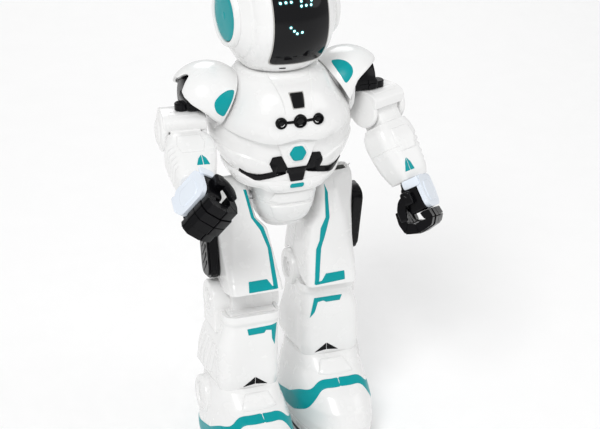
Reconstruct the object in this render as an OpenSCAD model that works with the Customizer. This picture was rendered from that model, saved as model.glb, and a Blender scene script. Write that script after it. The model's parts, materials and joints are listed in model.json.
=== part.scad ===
/* [Body] */
// Half width of the torso at its widest, level with the ribs
torso_half_w = 36; // [32:1:38]
// Distance from the hip axle forward to the chest
chest_reach = 35; // [30:1:38]
// Wall thickness of the moulded shells
wall = 2; // [1.6:0.1:2.4]
// Hip axle height above the floor
hip_z = 138; // [137:1:139]

/* [Head] */
// Radius of the round helmet
head_r = 32; // [30:0.5:34]
// Head turn in the built pose, towards the robot's left
head_turn = 5; // [-20:1:20]

/* [Arms] */
// Right elbow bend in the built pose
right_bend = 70; // [40:1:80]
// Left elbow bend in the built pose
left_bend = 35; // [30:1:80]
// Outward turn of the right forearm in the built pose
right_twist = 6; // [0:1:25]
// Outward turn of the left forearm in the built pose
left_twist = 25; // [0:1:35]
// Roll of the right hand about its forearm
right_roll = -35; // [-90:5:60]
// Roll of the left hand about its forearm
left_roll = -60; // [-90:5:60]

/* [Legs] */
// Thigh length, hip axle to knee axle
thigh_len = 50; // [49:0.5:51]
// Forward swing of the right thigh in the built pose, the left one swings back as far
stride = 13; // [8:0.5:13]

/* [Fits] */
// Radial clearance of a pin or shaft in its bore
run_fit = 0.05; // [0.03:0.01:0.08]
// Gap between parts that pass each other
gap = 0.4; // [0.3:0.1:0.6]

/* [Hidden] */
$fn = 40;

white = "#f2f3f3";
black = "#17181a";
teal = "#10a0a2";
steel = "silver";

// The model is built about the torso's middle line, then set so that the footprint and
// arms are centred on the origin.
centre_x = -4.6;
centre_y = 21.1;

right = -1;
left = 1;
hip_y = -4;
knee_drop = thigh_len * cos(stride);
knee_step = thigh_len * sin(stride);
knee_z = hip_z - knee_drop;
leg_x = 27;
foot_x = 25.5;

shoulder = [41, -1, 193];
elbow = [51, -6.5, 178.5];
neck_z = 206.4;
head_z = 265 - head_r;

side_steps = 16;

// ---------- Lofted shells ----------
// A section is [height, middle x, middle y, half width, reach forward, reach back, power].
function sgn_pow(v, p) = sign(v) * pow(abs(v), p);
function rim_point(s, a, inset) = [
    s[1] + (s[3] - inset) * sgn_pow(cos(a), 2 / s[6]),
    s[2] + ((a > 180 ? s[4] : s[5]) - inset) * sgn_pow(sin(a), 2 / s[6]),
    s[0]];
function half_rim(s, from, inset) =
    [for (i = [0:side_steps]) rim_point(s, from + 180 * i / side_steps, inset)];
function reversed(list) = [for (i = [len(list) - 1:-1:0]) list[i]];
function shell_rim(s, from, thick) =
    concat(half_rim(s, from, 0), reversed(half_rim(s, from, thick)));
function full_rim(s, inset) =
    [for (i = [0:2 * side_steps - 1]) rim_point(s, 0.001 + 180 * i / side_steps, inset)];

// Skins a stack of closed rims that all have the same number of points
module skin(rims) {
    n = len(rims[0]);
    last = len(rims) - 1;
    polyhedron(
        points = [for (r = rims) for (p = r) p],
        faces = concat(
            [[for (i = [0:n - 1]) i]],
            [for (k = [0:last - 1]) for (i = [0:n - 1])
                let (j = (i + 1) % n)
                for (face = [[k * n + j, k * n + i, (k + 1) * n + i],
                             [k * n + j, (k + 1) * n + i, (k + 1) * n + j]]) face],
            [[for (i = [n - 1:-1:0]) last * n + i]]),
        convexity = 8);
}

// Half of a hollow shell: from = 180 is the front half, 0 the rear half
module half_shell(sections, from, thick = wall) {
    n = 2 * side_steps + 2;
    last = len(sections) - 1;
    polyhedron(
        points = [for (s = sections) for (p = shell_rim(s, from, thick)) p],
        faces = concat(
            [for (i = [0:side_steps - 1])
                for (face = [[i, i + 1, n - 2 - i], [i, n - 2 - i, n - 1 - i]]) face],
            [for (k = [0:last - 1]) for (i = [0:n - 1])
                let (j = (i + 1) % n)
                for (face = [[k * n + j, k * n + i, (k + 1) * n + i],
                             [k * n + j, (k + 1) * n + i, (k + 1) * n + j]]) face],
            [for (i = [0:side_steps - 1])
                let (t = last * n)
                for (face = [[t + i + 1, t + i, t + n - 2 - i],
                             [t + n - 2 - i, t + i, t + n - 1 - i]]) face]),
        convexity = 8);
}

module solid_loft(sections, inset = 0)
    skin([for (s = sections) full_rim(s, inset)]);

// A hollow shell open at the top and the bottom
module tube_shell(sections, thick = wall) {
    n = 2 * side_steps;
    last = len(sections) - 1;
    outer = [for (s = sections) for (p = full_rim(s, 0)) p];
    inner = [for (s = sections) for (p = full_rim(s, thick)) p];
    m = len(outer);
    polyhedron(
        points = concat(outer, inner),
        faces = concat(
            [for (k = [0:last - 1]) for (i = [0:n - 1])
                let (j = (i + 1) % n)
                for (face = [[k * n + j, k * n + i, (k + 1) * n + i],
                             [k * n + j, (k + 1) * n + i, (k + 1) * n + j]]) face],
            [for (k = [0:last - 1]) for (i = [0:n - 1])
                let (j = (i + 1) % n)
                for (face = [[m + k * n + i, m + k * n + j, m + (k + 1) * n + i],
                             [m + k * n + j, m + (k + 1) * n + j, m + (k + 1) * n + i]]) face],
            [for (i = [0:n - 1])
                let (j = (i + 1) % n)
                for (face = [[i, j, m + i], [j, m + j, m + i]]) face],
            [for (i = [0:n - 1])
                let (j = (i + 1) % n, t = last * n)
                for (face = [[t + j, t + i, m + t + i], [t + j, m + t + i, m + t + j]]) face]),
        convexity = 8);
}

// ---------- Small helpers ----------
module placed() translate([centre_x, centre_y, 0]) children();

module sided(side) {
    if (side > 0)
        children();
    else
        mirror([1, 0, 0]) children();
}

// A rod along X from x1 to x2
module rod_x(r, x1, x2, y = 0, z = 0, turn = 0)
    translate([x1, y, z]) rotate([0, 90, 0]) rotate([0, 0, turn]) cylinder(r = r, h = x2 - x1);

module block(x, y, z)
    translate([x[0], y[0], z[0]]) cube([x[1] - x[0], y[1] - y[0], z[1] - z[0]]);

function arc(cx, cy, r, a1, a2, n = 6) =
    [for (i = [0:n]) let (a = a1 + (a2 - a1) * i / n) [cx + r * cos(a), cy + r * sin(a)]];
function round_rect(w, h, r) = concat(
    arc(w / 2 - r, h / 2 - r, r, 0, 90), arc(r - w / 2, h / 2 - r, r, 90, 180),
    arc(r - w / 2, r - h / 2, r, 180, 270), arc(w / 2 - r, r - h / 2, r, 270, 360));

// ---------- Torso ----------
torso_sections = [
    [156.6, 0, -3, 26.6, 26, 22, 2.7],
    [162, 0, -3, 31.5, 27.3, 24, 2.7],
    [169, 0, -3, 35, 28.6, 25.5, 2.6],
    [176, 0, -3, torso_half_w, 30.5, 27, 2.5],
    [183, 0, -3, 34, chest_reach - 4, 28, 2.5],
    [190, 0, -3, 30.2, chest_reach - 3.5, 28, 2.4],
    [197, 0, -3, 26.5, 29.5, 26.5, 2.3],
    [202, 0, -3, 23.6, 24.5, 24, 2.3],
    [205.8, 0, -3, 21, 18.5, 21, 2.2]];

sensor_x = [-9, 0, 9];
sensor_z = 186.4;
button_z = 169;
window_z = 195.8;
function sensor_r(x) = x == 0 ? 3.4 : 2.9;
screw_spots = [[-20, 186, 20.4], [20, 186, 20.4], [-20, 163, 17.2], [20, 163, 17.2]];

// A rod along Y towards the front, from y = y1 to y = y2
module rod_y(r, x, z, y1, y2)
    translate([x, y2, z]) rotate([90, 0, 0]) cylinder(r = r, h = y2 - y1);

module shell_front_cuts() {
    rod_y(4.6 + gap, 0, button_z, -60, -20);
    block([-4.8, 4.8], [-60, -20], [window_z - 4.8, window_z + 4.8]);
    for (x = sensor_x)
        rod_y(sensor_r(x) + 0.1, x, sensor_z, -60, -20);
    block([-9, 9], [-60, -20], [sensor_z - 1.1, sensor_z + 1.1]);
}

module torso_front_shell() placed() color(white) difference() {
    half_shell(torso_sections, 180);
    shell_front_cuts();
}

module torso_back_shell() placed() color(white) difference() {
    half_shell(torso_sections, 0);
    block([-17, 17], [10, 40], [162, 190]);
    block([-6, 6], [10, 40], [192.4, 197.6]);
    for (s = screw_spots)
        rod_y(1.9, s[0], s[1], 8, 40);
}

module waist_belt() placed() color(black) tube_shell([
    [153.5, 0, -3, 25.8, 25.6, 21.4, 2.7],
    [156.5, 0, -3, 26.2, 25.8, 21.7, 2.7]], 4);

module sensor_window() placed() color(black)
    block([-4.6, 4.6], [-33.4, -27], [window_z - 4.6, window_z + 4.6]);

// Three round sensor cups joined by bars
module sensor_trim() placed() color(black) difference() {
    union() {
        for (x = sensor_x)
            rod_y(sensor_r(x), x, sensor_z, -34.2, -27);
        block([-9, 9], [-33.4, -27.5], [sensor_z - 1, sensor_z + 1]);
    }
    for (x = sensor_x)
        rod_y(sensor_r(x) - 1.1, x, sensor_z, -36, -30);
}

lens_z = 151.2;
module status_lens() placed() color(teal) translate([0, -27, lens_z]) rotate([90, 0, 0])
    linear_extrude(2.6) polygon(round_rect(7, 2.6, 1.2));

pelvis_sections = [
    [124.5, 0, -4, 10.5, 11, 11, 2.6],
    [128, 0, -4, 13, 15.4, 14, 2.8],
    [134, 0, -4, 14.8, 18.6, 17, 3],
    [141, 0, -4, 15.8, 21, 19, 3],
    [146, 0, -4, 16.8, 22.6, 19.5, 3],
    [149.2, 0, -4, 17.2, 23.4, 20, 3]];
skirt_sections = [
    [149.2, 0, -3, 24.5, 25, 20.4, 2.7],
    [151.4, 0, -3, 26.6, 26.2, 21.8, 2.7],
    [153.4, 0, -3, 27.2, 26.6, 22.2, 2.7]];

module pelvis_shell() placed() color(white) difference() {
    union() {
        solid_loft(pelvis_sections);
        solid_loft(skirt_sections);
    }
    rod_x(3, -30, 30, hip_y, hip_z);
    block([-13, 13], [-17, 8], [128, 160]);
    block([-3.7, 3.7], [-40, -26.8], [lens_z - 1.5, lens_z + 1.5]);
}

module neck_collar() placed() color(black) difference() {
    union() {
        translate([0, 0, 199]) cylinder(r = 15, h = 5.5);
        translate([0, 0, 203]) cylinder(r = 9, h = 8.5);
    }
    translate([0, 0, 198]) cylinder(r = 5, h = 20);
}

// Shoulder domes: a round cap that is cut off flat along the torso's sloping side and
// open outward and down, where the arm swings.
dome_r = 19.4;
dome_wall = 1.4;
dome_centre = [36.5, -1, 192.5];
module shoulder_dome(side) placed() sided(side) color(white) union() {
    difference() {
        translate(dome_centre) sphere(r = dome_r);
        translate(dome_centre) sphere(r = dome_r - dome_wall);
        translate([34.8, 0, 183]) rotate([0, -29, 0]) translate([-60, -40, -40])
            cube([60, 80, 100]);
        block([38.6, 70], [-40, 40], [150, 198]);
        block([47.5, 70], [-40, 40], [150, 230]);
        block([20, 40], [-40, 40], [150, 180.5]);
    }
    // Pivot peg for the arm, on a web inside the dome
    rod_x(3, 34.6, 43, shoulder[1], shoulder[2]);
    block([34.6, 35.8], [-6, 4], [186, 200]);
}
module right_shoulder_cap() shoulder_dome(right);
module left_shoulder_cap() shoulder_dome(left);

// ---------- Inside the torso ----------
module main_board() placed() color("darkgreen") difference() {
    block([-22, 22], [-19, -17.4], [160, 190]);
    for (x = [-18, 18])
        translate([x, -10, 175]) rotate([90, 0, 0]) cylinder(r = 1.6, h = 20);
}

module speaker() placed() color("#444444") translate([0, -10, 193]) {
    cylinder(r = 9, h = 3);
    translate([0, 0, -3]) cylinder(r = 5, h = 3);
}

module battery_pack() placed() color("#2c5aa0") {
    for (x = [-8, 8])
        translate([x, 8.5, 158]) cylinder(r = 7.2, h = 30);
    block([-14, 14], [1, 2], [158, 188]);
    block([-1, 1], [2, 8], [158, 188]);
}

module battery_door() placed() color(white) difference() {
    block([-16.7, 16.7], [18.4, 21.4], [162.3, 189.7]);
    for (z = [166:3:175])
        block([-6, 6], [20.8, 23], [z, z + 1.2]);
}

module case_screws() placed() color(steel)
    for (s = screw_spots)
        difference() {
            rod_y(1.7, s[0], s[1], 8.5, s[2]);
            block([s[0] - 1.2, s[0] + 1.2], [s[2] - 0.7, s[2] + 1], [s[1] - 0.25, s[1] + 0.25]);
            block([s[0] - 0.25, s[0] + 0.25], [s[2] - 0.7, s[2] + 1], [s[1] - 1.2, s[1] + 1.2]);
        }

// ---------- Walking drive ----------
gear_module = 0.6;
gear_teeth = 24;
pinion_teeth = 10;
motor_z = hip_z + gear_module * (gear_teeth + pinion_teeth) / 2;

module spur_profile(teeth) {
    root_r = gear_module * (teeth / 2 - 1.15);
    tip_r = gear_module * (teeth / 2 + 0.85);
    pitch = 360 / teeth;
    polygon([for (i = [0:teeth - 1])
        for (p = [[root_r, -0.30], [tip_r, -0.10], [tip_r, 0.10], [root_r, 0.30]])
            [p[0] * cos((i + p[1]) * pitch), p[0] * sin((i + p[1]) * pitch)]]);
}

module gearbox_frame() placed() color("#d8d8d2") difference() {
    union() {
        block([-12, -9.6], [-14, 7], [129, 150]);
        block([9.6, 12], [-14, 7], [129, 150]);
        block([-12, 12], [5, 7], [129, 150]);
    }
    rod_x(2.5 + run_fit, -13, 13, hip_y, hip_z);
}

module drive_motor() placed() color("#9aa0a6") union() {
    rod_x(5.5, -9, 3, hip_y, motor_z);
    rod_x(1, 2, 9, hip_y, motor_z);
}

module motor_pinion() placed() color("white")
    translate([4, hip_y, motor_z]) rotate([0, 90, 0]) difference() {
        linear_extrude(4) spur_profile(pinion_teeth);
        translate([0, 0, -1]) cylinder(r = 1 + run_fit, h = 6);
    }

// The crank gear turns on the hip shaft
module crank_gear() placed() color("ivory")
    translate([4, hip_y, hip_z]) rotate([0, 90, 0]) difference() {
        union() {
            linear_extrude(4) rotate(180 / gear_teeth) spur_profile(gear_teeth);
            translate([5, 0, 3]) cylinder(r = 1, h = 2.2);
        }
        translate([0, 0, -1]) cylinder(r = 2.5 + run_fit, h = 12);
    }

module hip_shaft() placed() color(steel) rod_x(2.5, -34.4, 34.4, hip_y, hip_z);

module mode_button() placed() color(teal) union() {
    translate([0, -30, button_z]) rotate([90, 0, 0]) linear_extrude(2.8)
        polygon([for (a = [0:60:300]) 4.6 * [cos(a), sin(a)]]);
    rod_y(2, 0, button_z, -31, -22);
}

module power_switch() placed() color(black) union() {
    block([-2, 2], [19, 24], [193.6, 196.4]);
    block([-5.4, 5.4], [17, 19.4], [192.6, 197.4]);
}

// ---------- Head ----------
module on_head() placed() translate([0, 0, head_z]) rotate([0, 0, head_turn]) children();

visor_half = 15.5;
module visor_prism(grow) intersection() {
    block([-visor_half - grow, visor_half + grow], [-60, 0], [-17 - grow, 21 + grow]);
    translate([0, 0, -4]) rotate([90, 0, 0]) cylinder(r = 27 + grow, h = 60);
}

neck_cut = head_z - neck_z;
ear_ring_r = 15;
ear_recess_r = 13;
ear_ring_x = 30.4;
ear_floor_x = 28;
// Keeps the seams of the round forms away from the parting plane
seam_turn = 45;
module head_half(front) difference() {
    union() {
        rotate([0, 0, seam_turn]) sphere(r = head_r);
        rod_x(ear_ring_r, -ear_ring_x, ear_ring_x, turn = seam_turn);
    }
    rotate([0, 0, seam_turn]) sphere(r = head_r - wall);
    rod_x(ear_recess_r, -40, -ear_floor_x, turn = seam_turn);
    rod_x(ear_recess_r, ear_floor_x, 40, turn = seam_turn);
    block([-50, 50], [-50, 50], [-60, -neck_cut]);
    block([-50, 50], front ? [0, 50] : [-50, 0], [-60, 60]);
    visor_prism(0.2);
}

module head_front_shell() on_head() color(white) head_half(true);
module head_back_shell() on_head() color(white) head_half(false);

module visor() on_head() color(black) intersection() {
    difference() {
        sphere(r = head_r + 0.2);
        sphere(r = head_r - wall);
    }
    visor_prism(0);
}

module led_board() on_head() color("#0b3b3c") union() {
    block([-11, 11], [-22, -20.6], [-11, 14]);
    block([-3, 3], [-20.8, 10], [-1, 1]);
}

// Bearing ring that carries the head on the neck post
module head_base() on_head() color("#3a3d40") difference() {
    translate([0, 0, -neck_cut + 1]) cylinder(r = 15.2, h = 2);
    translate([0, 0, -neck_cut - 2]) cylinder(r = 9 + run_fit, h = 8);
}

module ear_disc(side) on_head() sided(side) color(teal)
    rod_x(ear_recess_r - gap, ear_floor_x + 0.2, ear_ring_x - 0.2);
module right_ear_disc() ear_disc(right);
module left_ear_disc() ear_disc(left);

// ---------- Arms ----------
// Upper arm: a disc inside the shoulder dome and a bar down to the elbow's turntable
module upper_arm(side) placed() sided(side) color(black) union() {
    difference() {
        union() {
            rod_x(11, 36.2, 49.2, shoulder[1], shoulder[2]);
            block([38.6, 49.8], [-12, 3], [189.2, 195]);
            translate([elbow[0], elbow[1], 189.2]) cylinder(r = 3.6, h = 3.4);
        }
        rod_x(3 + run_fit, 30, 43.4, shoulder[1], shoulder[2]);
        block([37.6, 60], [-30, 30], [170, 189.2]);
    }
    translate([elbow[0], elbow[1], 187.4]) cylinder(r = 2.5, h = 4);
}
module right_upper_arm() upper_arm(right);
module left_upper_arm() upper_arm(left);

// The elbow's own frame: X is the bending axis, the forearm hangs along -Z at bend 0
module at_elbow(side, twist) placed() sided(side)
    translate(elbow) rotate([0, 0, twist]) children();

drum_r = 8;
module elbow_cap(side, twist) at_elbow(side, twist) color(white) difference() {
    union() {
        translate([0, 1.5, 5.4]) linear_extrude(5) polygon(round_rect(21.4, 18, 6));
        translate([0, 8.4, -6]) linear_extrude(12) polygon(round_rect(20, 5, 2.4));
        rod_x(9.4, -10.6, -8);
        rod_x(9.4, 8, 10.6);
    }
    rod_x(drum_r + gap, -8, 8);
    rod_x(2 + run_fit, -12, 12);
    translate([0, 0, 7]) cylinder(r = 2.5 + run_fit, h = 10);
}
module right_elbow_cap() elbow_cap(right, right_twist);
module left_elbow_cap() elbow_cap(left, left_twist);

module at_forearm(side, twist, bend)
    at_elbow(side, twist) rotate([-bend, 0, 0]) children();

wrist_d = 41;
forearm_sections = [
    [-wrist_d, 0, 0, 8.6, 7.6, 7.6, 3.2],
    [-33, 0, 0, 10.4, 8.6, 9.4, 3.2],
    [-20, 0, 0, 11.8, 9.2, 9.8, 3.2],
    [-13.5, 0, 0, 11, 8.6, 8.6, 3.4],
    [-11, 0, 0, 9.6, 8, 8, 3.4]];

module forearm(side, twist, bend) at_forearm(side, twist, bend) color(white) difference() {
    union() {
        solid_loft(forearm_sections);
        rod_x(drum_r, -7.6, 7.6);
        block([-7.6, 7.6], [-6, 6], [-12, 0]);
        rod_x(2, -10.4, 10.4);
    }
    translate([0, 0, -wrist_d - 1]) cylinder(r = 3 + run_fit, h = 9);
}
module right_forearm() forearm(right, right_twist, right_bend);
module left_forearm() forearm(left, left_twist, left_bend);

module at_hand(side, twist, bend, roll)
    at_forearm(side, twist, bend) translate([0, 0, -wrist_d - gap]) rotate([0, 0, roll])
        children();

// The palm with its wrist peg and thumb; the back of the hand faces outward
module palm(side, twist, bend, roll) at_hand(side, twist, bend, roll) color(black) union() {
    cylinder(r = 3, h = 8);
    translate([0, 0, -3]) cylinder(r = 5, h = 3);
    block([-4, 5], [-10, 10], [-17, -2.6]);
    block([-10, -3], [-14.8, -10.9], [-20, -8]);
    block([-4, 1], [-14.8, -9.5], [-12, -5]);
}
module right_palm() palm(right, right_twist, right_bend, right_roll);
module left_palm() palm(left, left_twist, left_bend, left_roll);

module cuff(side, twist, bend, roll) at_hand(side, twist, bend, roll) color("#e9f1fb") {
    translate([5.1, 0, -15]) rotate([0, 90, 0]) linear_extrude(2.4)
        polygon([[-15, -8], [-15, 8], [-10, 10.2], [1.8, 10.2], [1.8, -10.2], [-10, -10.2]]);
}
module right_cuff() cuff(right, right_twist, right_bend, right_roll);
module left_cuff() cuff(left, left_twist, left_bend, left_roll);

finger_w = 5;
module fingers(side, twist, bend, roll) at_hand(side, twist, bend, roll) color(black) union() {
    for (i = [0:3])
        translate([0, -10.5 + i * (finger_w + 0.3) + finger_w, 0]) rotate([90, 0, 0])
            linear_extrude(finger_w)
                polygon([[6.5, -17.3], [7.4, -22], [4.5, -26], [-4, -27.6], [-11, -25],
                    [-12.4, -19], [-11.4, -12], [-7.2, -12], [-7, -19.6], [-4, -21.6],
                    [0, -21], [1, -17.3]]);
    block([1.4, 5], [-10, 10], [-20, -17.4]);
}
module right_fingers() fingers(right, right_twist, right_bend, right_roll);
module left_fingers() fingers(left, left_twist, left_bend, left_roll);

// ---------- Legs ----------
module at_hip(side) placed() translate([0, hip_y, hip_z])
    rotate([side == right ? -stride : stride, 0, 0]) sided(side) children();

module at_knee(side) placed()
    translate([0, hip_y + (side == right ? -knee_step : knee_step), knee_z]) sided(side)
        children();

thigh_sections = [
    [-45, 23.4, 0, 13.8, 26.5, 15, 4],
    [-40.5, 23.4, 0, 13.8, 25, 15.6, 4],
    [-24, 23.7, 0, 13.2, 17.6, 15.4, 4],
    [-15.5, 24.2, 0, 12.8, 15.3, 14.2, 4],
    [-10, 26.6, 0, 10.4, 13.6, 13, 4],
    [-1, 27.6, 0, 9.8, 11, 11, 4],
    [4, 27.6, 0, 9.8, 10, 10, 3.6],
    [8, 27.8, 0, 9.6, 7.2, 7.2, 3.2],
    [10, 28, 0, 9, 4.4, 4.4, 3]];

module thigh_shell(side, from) at_hip(side) color(white) difference() {
    half_shell(thigh_sections, from, 1.6);
    rod_x(3, 10, 24);
    rod_x(10.7, 8, 46, 0, -thigh_len);
}
module thigh_front(side) thigh_shell(side, 180);
module thigh_rear(side) thigh_shell(side, 0);
module right_thigh_front() thigh_front(right);
module left_thigh_front() thigh_front(left);
module right_thigh_rear() thigh_rear(right);
module left_thigh_rear() thigh_rear(left);

module thigh_frame(side) at_hip(side) color("#dadad6") difference() {
    union() {
        rod_x(6.8, 20, 34.4);
        block([23, 32], [-6, 6], [-thigh_len, -3]);
        rod_x(6, 23, 32, 0, -thigh_len);
    }
    rod_x(2.5 + run_fit, 10, 50);
    rod_x(2 + run_fit, 10, 50, 0, -thigh_len);
}
module right_thigh_frame() thigh_frame(right);
module left_thigh_frame() thigh_frame(left);

module thigh_pod(side) at_hip(side) color(black)
    translate([37.6, -2, -19.9]) rotate([90, 0, 90]) linear_extrude(5.6)
        difference() {
            polygon(round_rect(15, 37.8, 6.5));
            polygon(round_rect(6, 27, 2.5));
        }
module right_thigh_pod() thigh_pod(right);
module left_thigh_pod() thigh_pod(left);

// The shin carries the knee discs, its pin and the flared rim
rim_x = leg_x - 2.7;
shin_sections = [
    [-knee_z + 44, leg_x - 0.6, 1, 17, 20.5, 19, 3.2],
    [-knee_z + 54, leg_x - 0.4, 1, 17.6, 20.5, 20, 3],
    [-knee_z + 66, leg_x - 0.6, 0, 16.6, 20, 18.6, 3.4],
    [-knee_z + 79.5, rim_x, 0, 14.4, 19.6, 16.5, 3.8],
    [-knee_z + 82, rim_x, 0, 14.7, 20.4, 16.5, 3.8],
    [-knee_z + 86.5, rim_x, 0, 14.7, 20.6, 16.4, 3.8]];

module shin(side) at_knee(side) color(white) union() {
    tube_shell(shin_sections);
    rod_x(10, 7.4, 22.5);
    rod_x(10, 32.5, 42.6);
    for (x = [[12.4, 22.5], [32.5, 42.6]])
        block(x, [-10, 10], [-15, 0]);
    // Knee block in front of the thigh's end, and the floor of the rim
    block([13, 33.8], [-12.4, -7.6], [-16, 1.4]);
    block([20, 35], [7.4, 10], [-16, -8.5]);
    block([14.5, 34], [-19, 15], [-8.4, -6.8]);
    block([11, 37.6], [-15, 12], [-8.4, -6.8]);
    rod_x(2, 22, 33);
}
module right_shin() shin(right);
module left_shin() shin(left);

foot_sections = [
    [-knee_z + 3.2, foot_x, 0, 19.5, 47, 21, 2.6],
    [-knee_z + 8, foot_x, 0, 20.8, 50.5, 23, 2.5],
    [-knee_z + 15, foot_x, 0, 21.4, 52, 24, 2.4],
    [-knee_z + 23, foot_x, 0, 21.2, 49, 24, 2.4],
    [-knee_z + 30, foot_x, 0, 20, 42, 23, 2.5],
    [-knee_z + 37, foot_x + 0.4, 0, 18.4, 31, 21.5, 2.7],
    [-knee_z + 44, leg_x - 1, 0, 16.8, 22.5, 20, 3]];

module foot(side) at_knee(side) color(white) union() {
    tube_shell(foot_sections);
    rod_x(10.6, foot_x + 14, foot_x + 21.4, 3, -knee_z + 33);
}
module right_foot() foot(right);
module left_foot() foot(left);

roller_r = 4;
roller_y = [-28, 10];
module sole(side) at_knee(side) color("#33363a") difference() {
    union() {
        solid_loft([
            [-knee_z, foot_x, 0, 18.6, 45.6, 20, 2.6],
            [-knee_z + 3.2, foot_x, 0, 18.6, 45.6, 20, 2.6]]);
        for (y = roller_y)
            for (x = [foot_x - 10.5, foot_x + 8])
                block([x, x + 2.5], [y - 4, y + 4], [-knee_z + 3, -knee_z + 8]);
    }
    for (y = roller_y) {
        block([foot_x - 8, foot_x + 8], [y - 5, y + 5], [-knee_z - 1, -knee_z + 5]);
        rod_x(1.5 + run_fit, foot_x - 11, foot_x + 11, y, -knee_z + roller_r);
    }
}
module right_sole() sole(right);
module left_sole() sole(left);

module roller(side, y) at_knee(side) color("#555a5e") union() {
    rod_x(roller_r, foot_x - 7.4, foot_x + 7.4, y, -knee_z + roller_r);
    rod_x(1.5, foot_x - 10.2, foot_x + 10.2, y, -knee_z + roller_r);
}
module right_front_roller() roller(right, roller_y[0]);
module right_rear_roller() roller(right, roller_y[1]);
module left_front_roller() roller(left, roller_y[0]);
module left_rear_roller() roller(left, roller_y[1]);

torso_front_shell();
torso_back_shell();
waist_belt();
sensor_window();
sensor_trim();
status_lens();
pelvis_shell();
neck_collar();
right_shoulder_cap();
left_shoulder_cap();
main_board();
speaker();
battery_pack();
battery_door();
case_screws();
gearbox_frame();
drive_motor();
hip_shaft();
motor_pinion();
crank_gear();
mode_button();
power_switch();
head_front_shell();
head_back_shell();
visor();
led_board();
head_base();
right_ear_disc();
left_ear_disc();
right_upper_arm();
right_elbow_cap();
right_forearm();
right_palm();
right_cuff();
right_fingers();
left_upper_arm();
left_elbow_cap();
left_forearm();
left_palm();
left_cuff();
left_fingers();
right_thigh_frame();
right_thigh_front();
right_thigh_rear();
right_thigh_pod();
right_shin();
right_foot();
right_sole();
right_front_roller();
right_rear_roller();
left_thigh_frame();
left_thigh_front();
left_thigh_rear();
left_thigh_pod();
left_shin();
left_foot();
left_sole();
left_front_roller();
left_rear_roller();
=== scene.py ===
import json
import math

import bpy
import numpy as np
from mathutils import Matrix, Vector
from mathutils.bvhtree import BVHTree
from mathutils.geometry import delaunay_2d_cdt


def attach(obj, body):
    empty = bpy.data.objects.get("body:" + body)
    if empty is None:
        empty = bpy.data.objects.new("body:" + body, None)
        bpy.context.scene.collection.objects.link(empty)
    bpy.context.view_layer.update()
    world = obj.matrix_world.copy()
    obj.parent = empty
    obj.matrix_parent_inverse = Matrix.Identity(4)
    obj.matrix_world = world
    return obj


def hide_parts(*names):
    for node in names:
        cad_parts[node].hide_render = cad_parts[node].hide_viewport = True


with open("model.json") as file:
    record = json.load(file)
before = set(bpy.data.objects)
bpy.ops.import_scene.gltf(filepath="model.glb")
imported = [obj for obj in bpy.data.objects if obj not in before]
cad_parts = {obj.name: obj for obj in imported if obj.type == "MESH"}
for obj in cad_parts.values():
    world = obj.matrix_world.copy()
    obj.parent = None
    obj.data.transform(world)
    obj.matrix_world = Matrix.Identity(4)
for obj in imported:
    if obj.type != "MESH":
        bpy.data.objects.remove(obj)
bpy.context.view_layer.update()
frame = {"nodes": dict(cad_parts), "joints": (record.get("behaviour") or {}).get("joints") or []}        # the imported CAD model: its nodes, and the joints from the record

MM = 0.001
TURN = 2 * math.pi
SIGN = {"right": -1.0, "left": 1.0}
RAY_START = -70
WALL = 1.8

# ---------- Places, read from the frame ----------
# Shapes are written in millimetres about a part's own joint, with +X outward on both
# sides, and a matrix puts them in the frame.
JOINT = {j["name"]: j for j in frame["joints"]}


def joint_at(name):
    return np.array(JOINT[name]["pos_m"]) / MM


def move(x, y, z):
    m = np.eye(4)
    m[:3, 3] = (x, y, z)
    return m


def turn(axis, degrees):
    return np.array(Matrix.Rotation(math.radians(degrees), 4, axis))


def hand_of(side):
    return np.diag([SIGN[side], 1, 1, 1])


middle_x, middle_y, head_z = joint_at("head_turn")
ROOT = move(middle_x, middle_y, 0)
HEAD_YAW = 5
HEAD = ROOT @ move(0, 0, head_z) @ turn("Z", HEAD_YAW)
HAND_ROLL = {"right": -35, "left": -60}
WRIST_GAP = 0.4


def side_root(side):
    return ROOT @ hand_of(side)


def from_root(side, point):
    return np.linalg.inv(side_root(side)) @ np.append(point, 1)


def elbow_frame(side):
    ex, ey, ez, _ = from_root(side, joint_at(side + "_elbow_bend"))
    ax, ay, _ = JOINT[side + "_elbow_bend"]["axis"]
    twist = math.degrees(math.atan2(SIGN[side] * ay, ax))
    return side_root(side) @ move(ex, ey, ez) @ turn("Z", twist)


def forearm_frame(side):
    bend = math.degrees(math.acos(-JOINT[side + "_wrist_turn"]["axis"][2]))
    return elbow_frame(side) @ turn("X", -bend)


WRIST_D = float(np.linalg.norm(joint_at("left_wrist_turn") - joint_at("left_elbow_bend")))


def hand_frame(side):
    roll = turn("Z", HAND_ROLL[side])
    return forearm_frame(side) @ move(0, 0, -WRIST_D - WRIST_GAP) @ roll


def thigh_frame(side):
    _, hy, hz, _ = from_root(side, joint_at(side + "_hip_swing"))
    _, ky, kz, _ = from_root(side, joint_at(side + "_knee_bend"))
    swing = math.degrees(math.atan2(ky - hy, hz - kz))
    return side_root(side) @ move(0, hy, hz) @ turn("X", swing)


def shin_frame(side):
    """Origin on the floor under the knee axle."""
    _, ky, _, _ = from_root(side, joint_at(side + "_knee_bend"))
    return side_root(side) @ move(0, ky, 0)


KNEE_Z = float(joint_at("left_knee_bend")[2])
THIGH_LEN = float(np.linalg.norm(joint_at("left_knee_bend") - joint_at("left_hip_swing")))

# ---------- Camera and stage ----------
CAMERA_AZ, CAMERA_EL, CAMERA_D, CAMERA_LENS = -19.5, 23.7, 950, 110.7
CAMERA_AIM = (middle_x + 12.4, middle_y, 121.2)
FLOOR_HALF = 4.0


def add_object(name, data):
    obj = bpy.data.objects.new(name, data)
    bpy.context.scene.collection.objects.link(obj)
    return obj


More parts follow.
